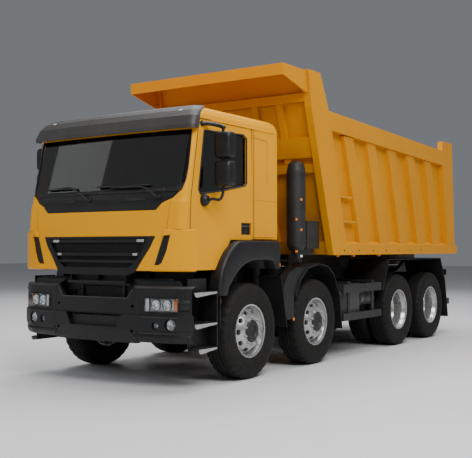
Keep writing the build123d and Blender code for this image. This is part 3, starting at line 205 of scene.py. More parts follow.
surface("rubber", (0.01, 0.01, 0.01), (0.018, 0.018, 0.018), (0.55, 0.75), cloud=8, grain=600)
surface("light_edge", (0.34, 0.34, 0.34), (0.45, 0.45, 0.44), (0.4, 0.55), metal=0.4, cloud=10)
surface("body_yellow", *BODY_YELLOW, **LACQUER)
surface("floor_paint_body", *BODY_YELLOW, **LACQUER)
darken_below(MATERIAL["floor_paint_body"], SKIRT_TOP, (0.02, 0.019, 0.018))

# The finish of each CAD node, by how its name begins; what isn't listed is chassis.
PAINT = {
    "yellow_paint": ("cab_rear_shell", "cab_roof", "cab_front", "door_left", "door_right"),
    "body_yellow": ("body_sides", "body_front_wall", "body_canopy", "tailgate"),
    "floor_paint_body": ("body_floor",),
    "dark_plastic": ("bumper", "cab_grille", "cab_cowl", "mudguards", "mirrors", "entry_steps",
                     "cab_arches"),
    "grey_trim": ("sun_visor",),
    "glass": ("windscreen", "door_glass"),
    "lamp_lens": ("lamps",),
    "tank_metal": ("tanks",),
    "interior_plastic": ("cab_dash",),
    "seat_fabric": ("cab_seats",),
    "hoist_steel": ("hoist_stage",),
    "tyre": ("tyre",),
    "wheel_paint": ("wheel",),
}
for name, node in NODE.items():
    finish = next((key for key, starts in PAINT.items() if name.startswith(starts)), "chassis_paint")
    node.data.materials.clear()
    node.data.materials.append(MATERIAL[finish])


# ---- mesh helpers
def prism(bm, outline, along, start, end):
    """Outline of (x, z) thickened along y, or of (x, y) thickened along z."""
    def spot(a, b, level):
        return at(a, level, b) if along == "y" else at(a, b, level)
    low = [bm.verts.new(spot(a, b, start)) for a, b in outline]
    top = [bm.verts.new(spot(a, b, end)) for a, b in outline]
    bm.faces.new(low)
    bm.faces.new(top[::-1])
    for i in range(len(outline)):
        j = (i + 1) % len(outline)
        bm.faces.new((low[i], top[i], top[j], low[j]))


def block(bm, x, y, z):
    prism(bm, [(x[0], y[0]), (x[1], y[0]), (x[1], y[1]), (x[0], y[1])], "z", *z)


def join_rings(bm, rings):
    for a, b in zip(rings, rings[1:]):
        for i in range(len(a)):
            j = (i + 1) % len(a)
            bm.faces.new((a[i], a[j], b[j], b[i]))


def turned(bm, profile, centre, axis, segments):
    """Profile of (distance along the axis, radius) turned round the axis; a radius of 0 closes an end."""
    way = Vector(axis).normalized()
    side = way.orthogonal().normalized()
    other = way.cross(side)
    rings = []
    for far, radius in profile:
        middle = Vector(centre) + way * far
        turns = circle(segments) if radius else [(0, 0)]
        rings.append([bm.verts.new(at(*(middle + (side * c + other * s) * radius))) for c, s in turns])
    for a, b in zip(rings, rings[1:]):
        for i in range(segments):
            j = (i + 1) % segments
            corners = [a[i % len(a)], a[j % len(a)], b[j % len(b)], b[i % len(b)]]
            corners = [v for k, v in enumerate(corners) if v not in corners[:k]]
            if len(corners) > 2:
                bm.faces.new(corners)


def tube(bm, points, radius, segments):
    """Round tube along a line of points."""
    line = [Vector(p) for p in points]
    side = None
    rings = []
    for i, p in enumerate(line):
        way = (line[min(i + 1, len(line) - 1)] - line[max(i - 1, 0)]).normalized()
        side = way.orthogonal() if side is None else side - way * side.dot(way)
        side.normalize()
        other = way.cross(side)
        rings.append([bm.verts.new(at(*(p + (side * c + other * s) * radius))) for c, s in circle(segments)])
    join_rings(bm, rings)
    bm.faces.new(rings[0][::-1])
    bm.faces.new(rings[-1])


def curved(points, steps):
    """Smooth line through the points."""
    p = [Vector(q) for q in points]
    p = [p[0] * 2 - p[1]] + p + [p[-1] * 2 - p[-2]]
    out = []
    for a, b, c, d in zip(p, p[1:], p[2:], p[3:]):
        for k in range(steps):
            t = k / steps
            out.append(((b * 2) + (c - a) * t + (a * 2 - b * 5 + c * 4 - d) * t ** 2
                        + (b * 3 - a - c * 3 + d) * t ** 3) / 2)
    return out + [p[-2]]


def curved_side(outline, steps):
    """Smooth line through points of (x, z), as points with y at 0."""
    return curved([(x, 0, z) for x, z in outline], steps)


def patch(bm, rows):
    """Surface through a grid of points."""
    grid = [[bm.verts.new(at(*p)) for p in row] for row in rows]
    for a, b in zip(grid, grid[1:]):
        for i in range(len(a) - 1):
            bm.faces.new((a[i], a[i + 1], b[i + 1], b[i]))


def nut(bm, centre, axis, radius, height):
    """Six-sided head with a chamfered top."""
    profile = [(0, 0), (0, radius), (height * 0.8, radius), (height, radius * 0.8), (height, 0)]
    turned(bm, profile, centre, axis, 6)


def piece(name, body, finish, bm, crease=32, bevel=0, thick=0):
    """One object from the mesh made so far; crease is the angle above which an edge stays sharp."""
    bmesh.ops.recalc_face_normals(bm, faces=bm.faces)
    for face in bm.faces:
        face.smooth = True
    for edge in bm.edges:
        edge.smooth = edge.calc_face_angle(0) < math.radians(crease)
    mesh = bpy.data.meshes.new(name)
    bm.to_mesh(mesh)
    bm.free()
    obj = bpy.data.objects.new(name, mesh)
    bpy.context.scene.collection.objects.link(obj)
    mesh.materials.append(MATERIAL[finish])
    if thick:
        mod = obj.modifiers.new("thick", "SOLIDIFY")
        mod.thickness = thick / 1000
        mod.offset = 0
    if bevel:
        mod = obj.modifiers.new("edge", "BEVEL")
        mod.width = bevel / 1000
        mod.segments = 2
        mod.limit_method = "ANGLE"
    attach(obj, body)
    return obj


def both_sides(*draws):
    """Runs each function for the left side and then for the right."""
    for word, side in SIDES.items():
        for draw in draws:
            draw(word, side)


# ---- surfaces of the part that pieces follow
# The cab's face: height, x on the middle plane, and how far the corner falls back.
NOSE = [(1227, 1242, 100), (1600, 1226, 100), (1950, 1195, 100), (2000, 1172, 95), (2840, 972, 40)]
FACE_HALF = 1060  # half width of the bowed face, where its rounded corner begins
FACE_BOW = 40
FACE_CORNER = 90
# The bumper's face bows to its bend, and wraps round to its end.
BUMPER_X = 1285
BUMPER_BEND, BUMPER_BOW = 930, 78
BUMPER_END, BUMPER_WRAP = 320, 127


def face_x(y, z, back):
    """x of the cab's face at y and z, set back."""
    for (z0, x0, c0), (z1, x1, c1) in zip(NOSE, NOSE[1:]):
        if z <= z1 or z1 == NOSE[-1][0]:
            share = (z - z0) / (z1 - z0)
            front, corner = x0 + (x1 - x0) * share, c0 + (c1 - c0) * share
            break
    a = abs(y)
    if a <= FACE_HALF:
        return front - back - FACE_BOW * (a / FACE_HALF) ** 2
    t = min((a - FACE_HALF) / (FACE_CORNER - back), 1)
    return front - back - FACE_BOW - corner * (1 - math.sqrt(1 - t * t))


def bumper_x(y, back):
    """x of the bumper's face at y, set back."""
    a = abs(y)
    if a <= BUMPER_BEND:
        return BUMPER_X - back - BUMPER_BOW * (a / BUMPER_BEND) ** 2
    return BUMPER_X - back - BUMPER_BOW - BUMPER_WRAP * ((a - BUMPER_BEND) / (BUMPER_END - back)) ** 2


def on_face(side, y, z, back):
    return face_x(y, z, back), side * y, z


def on_bumper(side, y, z, back):
    return bumper_x(y, back), side * y, z


def skin(bm, place, side, across, rows):
    """Surface along the bumper or the cab's face, as place says; each row is a height and a set-back."""
    patch(bm, [[place(side, y, z, back) for y in across] for z, back in rows])


# ---- tyres and wheels
# From the tread's middle outwards: distance from the middle plane of the tyre, radius.
TYRE_HALF = [(0, 526), (4, 526), (5, 538), (42, 538), (43, 525), (53, 525), (54, 538), (88, 537), (89, 528),
             (93, 528), (94, 536), (120, 529), (132, 522), (142, 502), (149, 488), (151, 470), (154.5, 455),
             (156, 440), (157.5, 436), (157.5, 428), (155.5, 424), (155, 404), (157, 400), (157, 392),
             (154, 388), (151, 366), (153, 362), (153, 352), (148, 340), (134, 312), (118, 292)]
TYRE_SEGMENTS = 132
SHOULDER = (94, 143)  # distances between which the shoulder is notched
SHOULDER_NOTCH, SHOULDER_EVERY = 11, 4
RIB = (43, 94)  # distances between which the rib is cut across
RIB_CUT, RIB_EVERY, RIB_STAGGER = 5, 6, 2
RIB_FLOOR = 530  # grooves, whose radius is less, stay uncut
WHEEL_BOLTS = 10
HUB_BOLT_RING = 66
# How far outwards from a tyre's middle the nuts' seat lies, and the radius of their ring.
SINGLE_DISC, SINGLE_RING = 150, 150
TWIN_DISC, TWIN_RING = -160, 139
HUB_FACE = -18


def tread_cut(k, offset, radius):
    """How much lower the tread lies at its k-th section."""
    wide = abs(offset)
    cut = 0
    if SHOULDER[0] <= wide <= SHOULDER[1] and k % SHOULDER_EVERY == 0:
        cut = SHOULDER_NOTCH
    turn = k + RIB_STAGGER if offset > 0 else k
    if RIB[0] < wide < RIB[1] and turn % RIB_EVERY == 0 and radius > RIB_FLOOR:
        cut = RIB_CUT
    return cut


def tyre_mesh(bm, x, y):
    """Tyre with grooves round it, notched shoulders and ringed sidewalls."""
    section = [(-offset, radius) for offset, radius in TYRE_HALF[::-1]] + TYRE_HALF[1:]
    rings = []
    for k, (c, s) in enumerate(circle(TYRE_SEGMENTS)):
        line = [(offset, radius - tread_cut(k, offset, radius)) for offset, radius in section]
        rings.append([bm.verts.new(at(x + r * c, y + offset, TYRE_RADIUS + r * s)) for offset, r in line])
    for a, b in zip(rings, rings[1:] + rings[:1]):
        for i in range(len(section) - 1):
            bm.faces.new((a[i], b[i], b[i + 1], a[i + 1]))


def round_axle(x, y, radius, shift=0):
    """The wheel bolts' places on an upright circle round an axle's end."""
    return [(x + radius * c, y, TYRE_RADIUS + radius * s) for c, s in circle(WHEEL_BOLTS, shift)]


def treads(wheel, body, node, x, rows):
    bm = bmesh.new()
    for y in rows:
        tyre_mesh(bm, x, y)
    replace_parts(piece(f"tread_{wheel}", body, "tyre", bm, crease=28), node)


def wheel_nuts(wheel, body, side, x, y, ring_radius):
    """Nuts with washers and stud ends, standing on the disc's face."""
    bm = bmesh.new()
    axis = (0, side, 0)
    for spot in round_axle(x, y, ring_radius, 0.5):
        turned(bm, [(-3, 0), (-3, 21), (3, 21), (4, 17)], spot, axis, 20)
        nut(bm, spot, axis, 16.5, 22)
        turned(bm, [(20, 8), (31, 8), (33, 6), (33, 0)], spot, axis, 12)
    piece(f"nuts_{wheel}", body, "light_edge", bm, bevel=1)


def steered_wheel(wheel, side, x, y):
    """Tread, nuts and the hub's cap of a single wheel."""
    body = f"wheel_{wheel}"
    treads(wheel, body, f"tyre_{wheel}", x, [y])
    wheel_nuts(wheel, body, side, x, y + side * SINGLE_DISC, SINGLE_RING)
    bm = bmesh.new()
    turned(bm, [(118, 0), (118, 60), (151, 66), (151, 126), (157, 124), (168, 112), (178, 84), (180, 70),
                (172, 58), (160, 52), (158, 0)], (x, y, TYRE_RADIUS), (0, side, 0), 48)
    piece(f"hub_cap_{wheel}", body, "chassis_paint", bm)


def twin_wheels(wheel, side, x, y):
    """Treads, nuts and the hub's bolts and cap of a pair of wheels."""
    body = f"wheels_{wheel}"
    treads(wheel, body, f"tyres_{wheel}", x, [y, y - side * TWIN_SPACING])
    wheel_nuts(wheel, body, side, x, y + side * TWIN_DISC, TWIN_RING)
    bm = bmesh.new()
    for spot in round_axle(x, y + side * HUB_FACE, HUB_BOLT_RING):
        nut(bm, spot, (0, side, 0), 9, 9)
    turned(bm, [(-19, 52), (-12, 50), (-6, 34), (-5, 0)], (x, y, TYRE_RADIUS), (0, side, 0), 36)
    piece(f"hub_bolts_{wheel}", body, "chassis_paint", bm)


def running_gear():
    for axle, x in AXLES.items():
        for word, side in SIDES.items():
            make = steered_wheel if axle in STEERED else twin_wheels
            make(f"{axle}_{word}", side, x, side * TRACK_OUTER)


# ---- lamps and bumper
HEADLAMP_Y, HEADLAMP_Z, HEADLAMP_RADIUS, HEADLAMP_BACK = (832, 966), 880, 56, 14
FOG_LAMPS = ((826, 667, 42), (1000, 675, 66))  # y, z, radius
FOG_BACK = 34
CLUSTER_Y = range(704, 1090, 11)
CLUSTER_ENDS = (704, 1088)
CLUSTER_Z = (806, 880, 954)
CLUSTER_BACK = (0, 48, 96)
INDICATOR_Y = range(1040, 1081, 8)
COVER_BULGE = 4
FORWARD = (1, 0, 0)


def reflector(bm, centre, radius, depth):
    turned(bm, [(0, radius), (-depth * 0.35, radius * 0.93), (-depth * 0.8, radius * 0.6),
                (-depth, radius * 0.25), (-depth, 0)], centre, FORWARD, 36)


def headlamp_parts(bowls, bezels, bulbs, side):
    for y in HEADLAMP_Y:
        spot = on_bumper(side, y, HEADLAMP_Z, HEADLAMP_BACK)
        rim = HEADLAMP_RADIUS
        reflector(bowls, spot, rim, 17)
        turned(bezels, [(-4, rim + 7), (5, rim + 6), (5, rim), (-6, rim)], spot, FORWARD, 36)
        turned(bulbs, [(-17, 0), (-17, 20), (-8, 23), (-3, 17), (0, 0)], spot, FORWARD, 24)


def fog_lamp_parts(bowls, bezels, bulbs, side):
    for y, z, rim in FOG_LAMPS:
        spot = on_bumper(side, y, z, FOG_BACK)
        reflector(bowls, spot, rim - 7, FOG_BACK)
        turned(bezels, [(-30, rim - 1), (8, rim - 1), (10, rim - 5), (2, rim - 7), (-30, rim - 7)], spot,
               FORWARD, 40)
        turned(bulbs, [(-30, 0), (-30, 12), (-12, 13), (-6, 0)], spot, FORWARD, 20)


def lamp_field(side):
    """White plate behind the headlamps, with three standing bars at its inner end."""
    bm = bmesh.new()
    skin(bm, on_bumper, side, range(748, 1037, 16), [(z, 33) for z in (812, 880, 948)])
    for y in (712, 726, 740):
        patch(bm, [[on_bumper(side, y + d, z, back) for d, back in ((0, 10), (5, 3), (10, 10))]
                   for z in (813, 880, 947)])
    return bm


def lamp_housing(side):
    """Box behind the cluster: its back, its top and bottom, and its two ends."""
    bm = bmesh.new()
    skin(bm, on_bumper, side, CLUSTER_Y, [(z, CLUSTER_BACK[-1]) for z in CLUSTER_Z])
    for z in (CLUSTER_Z[0], CLUSTER_Z[-1]):
        skin(bm, on_bumper, side, CLUSTER_Y, [(z, back) for back in CLUSTER_BACK])
    for y in CLUSTER_ENDS:
        patch(bm, [[on_bumper(side, y, z, back) for z in CLUSTER_Z] for back in CLUSTER_BACK])
    return bm


def lamp_cluster(word, side):
    bowls, bezels, bulbs = bmesh.new(), bmesh.new(), bmesh.new()
    headlamp_parts(bowls, bezels, bulbs, side)
    fog_lamp_parts(bowls, bezels, bulbs, side)
    piece(f"lamp_bowls_{word}", "root", "bright", bowls, thick=1.5)
    piece(f"lamp_field_{word}", "root", "white_lens", lamp_field(side), thick=1.5)
    piece(f"lamp_bezels_{word}", "root", "dark_plastic", bezels, bevel=0.8)
    piece(f"lamp_bulbs_{word}", "root", "white_lens", bulbs)
    amber = bmesh.new()
    skin(amber, on_bumper, side, INDICATOR_Y, [(z, 22) for z in (814, 846, 880, 914, 946)])
    piece(f"indicator_{word}", "root", "amber", amber, thick=5)
    housing = piece(f"lamp_housing_{word}", "root", "dark_plastic", lamp_housing(side), thick=2)
    if side == 1:
        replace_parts(housing, "lamps")
    low, high = CLUSTER_Z[0], CLUSTER_Z[-1]
    cover = bmesh.new()
    rows = [(z, 1 - COVER_BULGE * math.sin(math.pi * (z - low) / (high - low)))
            for z in range(low, high + 1, 12)]
    skin(cover, on_bumper, side, CLUSTER_Y, rows)
    piece(f"lamp_cover_{word}", "root", "lamp_lens", cover, thick=3)


def bumper_dressing(word, side):
    """Corner skin and rolled lower lip, lighter strips on the lower intake's edges and on the top edge that
    are painted highlight, and the seam between middle and wing.
    """
    bm = bmesh.new()
    skin(bm, on_bumper, side, range(1088, 1193, 8), [(z, 14) for z in (813, 880, 947)])
    lip = ((572, 8), (540, 10), (512, 15), (496, 27), (488, 42), (486, 60))
    skin(bm, on_bumper, side, range(560, 1216, 12), lip)
    piece(f"bumper_corner_{word}", "root", "dark_plastic", bm, thick=4)
    bm = bmesh.new()
    # grey strips along the lower intake's top and bottom edges: painted highlight
    for z, end, back in ((752, 1110, -1), (585, 1090, 4)):
        tube(bm, [on_bumper(side, y, z, back) for y in range(650, end, 20)], 4, 8)
    piece(f"intake_edge_highlights_{word}", "root", "grey_trim", bm)
    bm = bmesh.new()
    # grey strip over the top chamfer and along the notch: painted highlight
    skin(bm, on_bumper, side, range(576, 1221, 14), ((1049, 11), (1060, 16), (1070, 25), (1076, 34)))
    notch = ((572, 1072, 26), (522, 1010, 13), (474, 946, 13), (420, 942, 13), (0, 942, 13))
    tube(bm, curved([on_bumper(side, *spot) for spot in notch], 8), 6, 8)
    piece(f"bumper_edge_highlights_{word}", "root", "grey_trim", bm, thick=2)
    bm = bmesh.new()
    seam = ((500, 8), (620, 1), (770, 0), (786, 12), (1048, 12))
    tube(bm, [on_bumper(side, 600, z, back) for z, back in seam], 3.5, 6)
    piece(f"bumper_seam_{word}", "root", "rubber", bm)


def fog_covers(word, side):
    bm = bmesh.new()
    for y, z, radius in FOG_LAMPS:
        turned(bm, [(2, radius - 6), (8, radius * 0.6), (11, radius * 0.25), (11.5, 0)],
               on_bumper(side, y, z, 32), FORWARD, 36)
    piece(f"fog_covers_{word}", "root", "lamp_lens", bm, thick=2)


def side_markers(word, side):
    bm = bmesh.new()
    block(bm, (-918, -882), span(side, 1241, 1250), (595, 627))
    block(bm, (618, 637), span(side, 1205, 1240), (880, 925))
    piece(f"side_marker_{word}", "root", "amber", bm, bevel=3)


def rear_lamps(word, side):
    """Case on the rear bar, and three lenses on it, each a finish with its inner and outer end."""
    bm = bmesh.new()
    block(bm, (-6278, -6255), span(side, 900, 1180), (1010, 1110))
    piece(f"rear_lamp_case_{word}", "root", "dark_plastic", bm, bevel=5)
    for finish, start, end in (("red", 910, 1030), ("amber", 1036, 1104), ("white_lens", 1110, 1170)):
        bm = bmesh.new()
        block(bm, (-6289, -6278), span(side, start, end), (1020, 1100))
        piece(f"rear_{finish}_{word}", "root", finish, bm, bevel=4)


# ---- cab
# Outlines on the face are (y, z), and on the side (x, z).
APERTURE = [(875, 2058), (1040, 2058), (1088, 2071), (1110, 2172), (1116, 2312), (1112, 2515), (1105, 2718)]
BORDER = [(850, 2100), (1012, 2100), (1046, 2118), (1060, 2190), (1064, 2312), (1060, 2515), (1052, 2718)]
WINDOW = [(806, 2716), (66, 2748), (-9, 2715), (-10, 2204), (27, 2175), (469, 2094), (878, 2039),
          (905, 2080)]
DOOR_FRONT_SEAM = [(892, 2838), (913, 2709), (1037, 1981), (1057, 1454), (1064, 1236)]
DOOR_BACK_X, DOOR_TOP_Z = -158, 2838
DOOR_Y = 1150  # outer face of the doors
SEAM_Y = 1151


def windscreen_border(word, side):
    """Black painted edge of the windscreen, wider at the bottom, and the rubber round it."""
    bm = bmesh.new()
    patch(bm, [[on_face(side, y, z, 9) for y, z in line] for line in (APERTURE, BORDER)])
    skin(bm, on_face, side, range(0, 876, 25), [(z, 9) for z in (2060, 2080, 2100)])
    piece(f"screen_border_{word}", "cab", "rubber", bm, thick=1)
    bm = bmesh.new()
    tube(bm, curved([on_face(side, y, z, 4) for y, z in APERTURE[2:]], 4), 6, 8)
    piece(f"screen_seal_{word}", "cab", "rubber", bm)


# Pivot, elbow and tip of each wiper, as (y, z).
WIPERS = {"right": ((-152, 2000), (-438, 2140), (-857, 2142)),
          "left": ((810, 2003), (611, 2112), (-48, 2133))}
BLADE_Z = 2138


def wipers():
    for word, (pivot, elbow, tip) in WIPERS.items():
        bm = bmesh.new()
        turned(bm, [(-22, 18), (4, 18), (12, 14), (14, 0)], on_face(1, *pivot, 0), (1, 0, 0.2), 24)
        middle = ((elbow[0] + tip[0]) / 2, (elbow[1] + tip[1]) / 2)
        tube(bm, curved([on_face(1, y, z, -26) for y, z in (pivot, elbow, middle)], 8), 8, 8)
        for reach in (-130, 130):
            tube(bm, [on_face(1, y, middle[1], -17) for y in (middle[0] + reach, middle[0])], 5, 6)
        blade = even(*sorted((elbow[0] + 60, tip[0])), 16)
        skin(bm, on_face, 1, blade, [(BLADE_Z, -out) for out in (0, 9, 18)])
        skin(bm, on_face, 1, blade, [(z, -18) for z in (BLADE_Z - 7, BLADE_Z, BLADE_Z + 7)])
        piece(f"wiper_{word}", "cab", "rubber", bm, thick=3)


def slat_end_highlights():
    """Lighter patches at the ends of two of the grille's slats: painted highlight where the slats' ends turn
    to the light.
    """
    for low, high, y_end, length in ((1530, 1566, 668, 95), (1386, 1420, 585, 60)):
        for word, side in SIDES.items():
            bm = bmesh.new()
            across = even(y_end, y_end - length, 8)
            skin(bm, on_face, side, across, [(z, -2) for z in (low + 4, (low + high) / 2, high - 4)])
            # the light finish on these slat ends is painted highlight
            piece(f"slat_end_{word}_{low}", "cab", "light_edge", bm, thick=3)


def grille_mesh():
    """Wires behind the slats, cut to the opening, which narrows downwards."""
    back, wire, top, foot, half = 31, 2.5, 1560, 1270, 520
    bm = bmesh.new()
    for y in range(-598, 599, 26):
        low = foot if abs(y) < half else foot + (abs(y) - half) * 1.4
        tube(bm, [on_face(1, y, z, back) for z in (low, (low + top) / 2, top)], wire, 5)
    for z in range(1280, 1560, 20):
        reach = half + max(0, z - 1290) * 0.62
        tube(bm, [on_face(1, reach * i / 6, z, back) for i in range(-6, 7)], wire, 5)
    piece("grille_mesh", "cab", "dark_plastic", bm)


MIRROR_X = 705
MIRROR_Y = 1345
MIRROR_HALF = 105
MIRROR_HEADS = {"upper": (2412, 2700), "lower": (2112, 2392)}
# Sections of a mirror's shell from its front: x from its middle, share of its width and of its height.
MIRROR_SHELL = [(70, 0.55, 0.66), (65, 0.76, 0.84), (51, 0.91, 0.94), (27, 0.985, 0.985), (-1, 1, 1),
                (-49, 1, 1), (-59, 0.97, 0.98)]


def mirror_arm(word, side):
    bm = bmesh.new()
    bow = [(815, 1150, 1963), (790, 1240, 1985), (735, MIRROR_Y, 2050), (735, MIRROR_Y, 2740)]
    hook = [(MIRROR_X, MIRROR_Y, 2735), (MIRROR_X + 10, 1290, 2762), (770, 1215, 2782), (850, 1147, 2784)]
    tube(bm, curved([(x, side * y, z) for x, y, z in bow], 7), 15, 12)
    tube(bm, curved([(x, side * y, z) for x, y, z in hook], 6), 22, 14)
    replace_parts(piece(f"mirror_arm_{word}", f"door_{word}", "dark_plastic", bm), f"mirrors_{word}")


def rounded_ring(bm, x, y, z, half_wide, half_high):
    """Upright ring like a rectangle with well rounded corners."""
    return [bm.verts.new(at(x, y + math.copysign(abs(c) ** 0.42, c) * half_wide,
                            z + math.copysign(abs(s) ** 0.34, s) * half_high)) for c, s in circle(40)]


def mirror_heads(word, side):
    for label, (low, high) in MIRROR_HEADS.items():
        y, z, half_high = side * MIRROR_Y, (low + high) / 2, (high - low) / 2
        bm = bmesh.new()
        rings = [rounded_ring(bm, MIRROR_X + x, y, z, side * MIRROR_HALF * wide, half_high * tall)
                 for x, wide, tall in MIRROR_SHELL]
        join_rings(bm, rings)
        bm.faces.new(rings[0])
        bm.faces.new(rings[-1][::-1])
        piece(f"mirror_{label}_{word}", f"door_{word}", "dark_plastic", bm, crease=40)
        bm = bmesh.new()
        bm.faces.new(rounded_ring(bm, MIRROR_X - 59.5, y, z, side * 94, half_high * 0.9))
        piece(f"mirror_glass_{label}_{word}", f"door_{word}", "mirror", bm, thick=1)


def mirror_bases(word, side):
    bm = bmesh.new()
    out = (0, side, 0)
    turned(bm, [(-2, 0), (-2, 66), (22, 64), (52, 48), (66, 24), (70, 0)], (812, side * 1150, 1975), out, 36)
    turned(bm, [(-2, 0), (-2, 34), (12, 30), (20, 0)], (846, side * 1148, 2784), out, 28)
    piece(f"mirror_base_{word}", f"door_{word}", "dark_plastic", bm)


def door_dressing(word, side):
    """Window seal, handle in its recess and lock."""
    body = f"door_{word}"
    bm = bmesh.new()
    tube(bm, [(x, side * DOOR_Y, z) for x, z in WINDOW + WINDOW[:1]], 9, 8)
    piece(f"window_seal_{word}", body, "rubber", bm)
    bm = bmesh.new()
    block(bm, (-98, 98), span(side, 1132, 1134), (1622, 1752))
    piece(f"handle_recess_{word}", body, "dark_plastic", bm)
    bm = bmesh.new()
    grip = [(-70, 1136, 1712), (-60, 1149, 1714), (60, 1149, 1714), (70, 1136, 1712)]
    tube(bm, curved([(x, side * y, z) for x, y, z in grip], 5), 9, 10)
    turned(bm, [(0, 0), (0, 12), (7, 11), (8, 0)], (0, side * 1134, 1655), (0, side, 0), 24)
    piece(f"door_handle_{word}", body, "grey_trim", bm, bevel=1)


def cab_side_lines(word, side):
    """Drip rail over the door and two creases behind it."""
    bm = bmesh.new()
    rail = [(900, 1140, 2836), (400, 1153, 2838), (-120, 1153, 2838), (-640, 1148, 2836)]
    tube(bm, curved([(x, side * y, z) for x, y, z in rail], 6), 8, 8)
    piece(f"drip_rail_{word}", "cab", "yellow_paint", bm)
    bm = bmesh.new()
    for z in (2030, 1600):
        tube(bm, [(-150, side * DOOR_Y, z), (-640, side * DOOR_Y, z)], 6, 8)
    piece(f"quarter_crease_{word}", "cab", "yellow_paint", bm)


def door_seams(word, side):
    """Dark shut lines in front of, behind and over each door."""
    bm = bmesh.new()
    corners = [(DOOR_BACK_X, 1560), (DOOR_BACK_X, DOOR_TOP_Z), DOOR_FRONT_SEAM[0]]
    for line in (DOOR_FRONT_SEAM, corners):
        tube(bm, [(x, side * SEAM_Y, z) for x, z in line], 4, 6)
    piece(f"door_seam_{word}", "cab", "rubber", bm)


def wheel_housing(word, side):
    """Liner over each front wheel, from the arch trim inwards."""
    path = curved_side([(505, 966), (474, 1060), (354, 1172), (162, 1296), (-83, 1342), (-330, 1333),
                        (-470, 1296), (-486, 1226)], 5)
    bm = bmesh.new()
    patch(bm, [[(p.x, side * y, p.z) for p in path] for y in (1105, 900, 700)])
    piece(f"wheel_housing_{word}", "cab", "chassis_paint", bm, thick=5)


def visor_lamps(word, side):
    bm = bmesh.new()
    block(bm, (925, 944), span(side, 915, 960), (2914, 2938))
    piece(f"visor_lamp_{word}", "cab", "white_lens", bm, bevel=5)


def trough_recesses():
    """Two black pockets in the trough under the windscreen."""
    for word, start, end in (("right", -560, -380), ("left", 360, 640)):
        bm = bmesh.new()
        skin(bm, on_face, 1, even(start, end, 8), [(z, 12) for z in (1972, 1990, 2008)])
        piece(f"trough_pocket_{word}", "cab", "rubber", bm, thick=6, bevel=1)


ARCH_OUTER = [(651, 962), (642, 1060), (612, 1190), (560, 1300), (470, 1410), (385, 1478), (300, 1530),
              (200, 1553), (0, 1555), (-300, 1555), (-540, 1555), (-592, 1535), (-603, 1480), (-603, 1340),
              (-603, 1226)]
ARCH_INNER = [(509, 962), (480, 1030), (430, 1092), (354, 1165), (262, 1236), (162, 1288), (40, 1322),
              (-83, 1334), (-260, 1334), (-400, 1325), (-450, 1306), (-468, 1280), (-478, 1256),
              (-480, 1240), (-480, 1226)]
# Section of the trim: how far from the outer line to the inner one, and y.
ARCH_SECTION = [(0, 1100), (0, 1214), (0.02, 1228), (0.07, 1240), (0.16, 1247), (0.3, 1250), (0.9, 1250),
                (0.97, 1246), (1, 1236), (1, 1100)]


def arches(word, side):
    """Cab's wheel arch trim with a smooth curve and a rounded outer edge, and the marker on it."""
    lines = list(zip(curved_side(ARCH_OUTER, 5), curved_side(ARCH_INNER, 5)))
    rows = [[(p.x + (q.x - p.x) * share, side * y, p.z + (q.z - p.z) * share) for p, q in lines]
            for share, y in ARCH_SECTION]
    bm = bmesh.new()
    patch(bm, rows + rows[:1])
    bmesh.ops.remove_doubles(bm, verts=bm.verts, dist=1e-5)
    bmesh.ops.holes_fill(bm, edges=[edge for edge in bm.edges if edge.is_boundary], sides=0)
    arch = piece(f"arch_{word}", "cab", "dark_plastic", bm, crease=45)
    if side == 1:
        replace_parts(arch, "cab_arches")
    bm = bmesh.new()
    block(bm, (-588, -560), span(side, 1243, 1250), (1252, 1290))
    piece(f"arch_marker_{word}", "cab", "amber", bm, bevel=3)


# ---- steps and what shows beside them
# Top of each tray, its front edge and its inner end.
STEPS = [(1015, 1080, 985), (690, 1080, 985), (430, 1005, 1120)]
STEP_BACK_X = 690
STEP_INNER, STEP_SPLIT, STEP_OUTER = 985, 1112, 1248
TRAY_DEPTH = 35
# Panels round the trays: outline of (x, z), inner and outer end.
STEP_PANELS = [([(690, 395), (705, 395), (705, 1015), (690, 1015)], STEP_SPLIT, STEP_OUTER),
               ([(690, 700), (705, 700), (705, 1015), (690, 1015)], STEP_INNER, STEP_SPLIT),
               ([(690, 395), (1040, 395), (1050, 700), (690, 700)], STEP_SPLIT, 1120)]


def steps(word, side):
    """Entry steps: three trays between dark panels, their carrier, and the flap behind them."""
    bm = bmesh.new()
    prism(bm, [(690, 560), (1060, 560), (1060, 980), (690, 980)], "y", *span(side, STEP_INNER, 1000))
    for top, front, inner in STEPS:
        prism(bm, [(STEP_BACK_X, top - TRAY_DEPTH), (front - 12, top - TRAY_DEPTH), (front, top - 22),
                   (front, top), (STEP_BACK_X, top)], "y", *span(side, inner, STEP_OUTER))
    for outline, inner, outer in STEP_PANELS:
        prism(bm, outline, "y", *span(side, inner, outer))
    block(bm, (820, 900), span(side, 430, STEP_INNER), (860, 940))
    block(bm, (742, 1060), span(side, 1120, 1135), (1015, 1150))
    prism(bm, [(652, 620), (640, 954), (628, 954), (638, 620)], "y", *span(side, 1110, 1246))
    block(bm, (635, 695), span(side, 1110, 1130), (640, 950))
    made = piece(f"steps_{word}", "root", "dark_plastic", bm, bevel=3)
    if side == 1:
        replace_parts(made, "entry_steps")


def step_treads(word, side):
    """Grip bars on the two lower trays, and the light front edge of all three."""
    bm = bmesh.new()
    for top, front, _ in STEPS[1:]:
        for x in even(720, front - 40, 8):
            block(bm, (x, x + 12), span(side, 1125, 1228), (top, top + 4))
    piece(f"step_grips_{word}", "root", "tread_plate", bm)
    bm = bmesh.new()
    for top, front, _ in STEPS:
        prism(bm, [(702, top - 22), (front - 30, top - 52), (front - 8, top - 44), (front + 1, top - 24),
                   (front + 1, top - 3), (702, top - 3)], "y", *span(side, 1232, 1250))
    piece(f"step_edges_{word}", "root", "light_edge", bm, bevel=3)


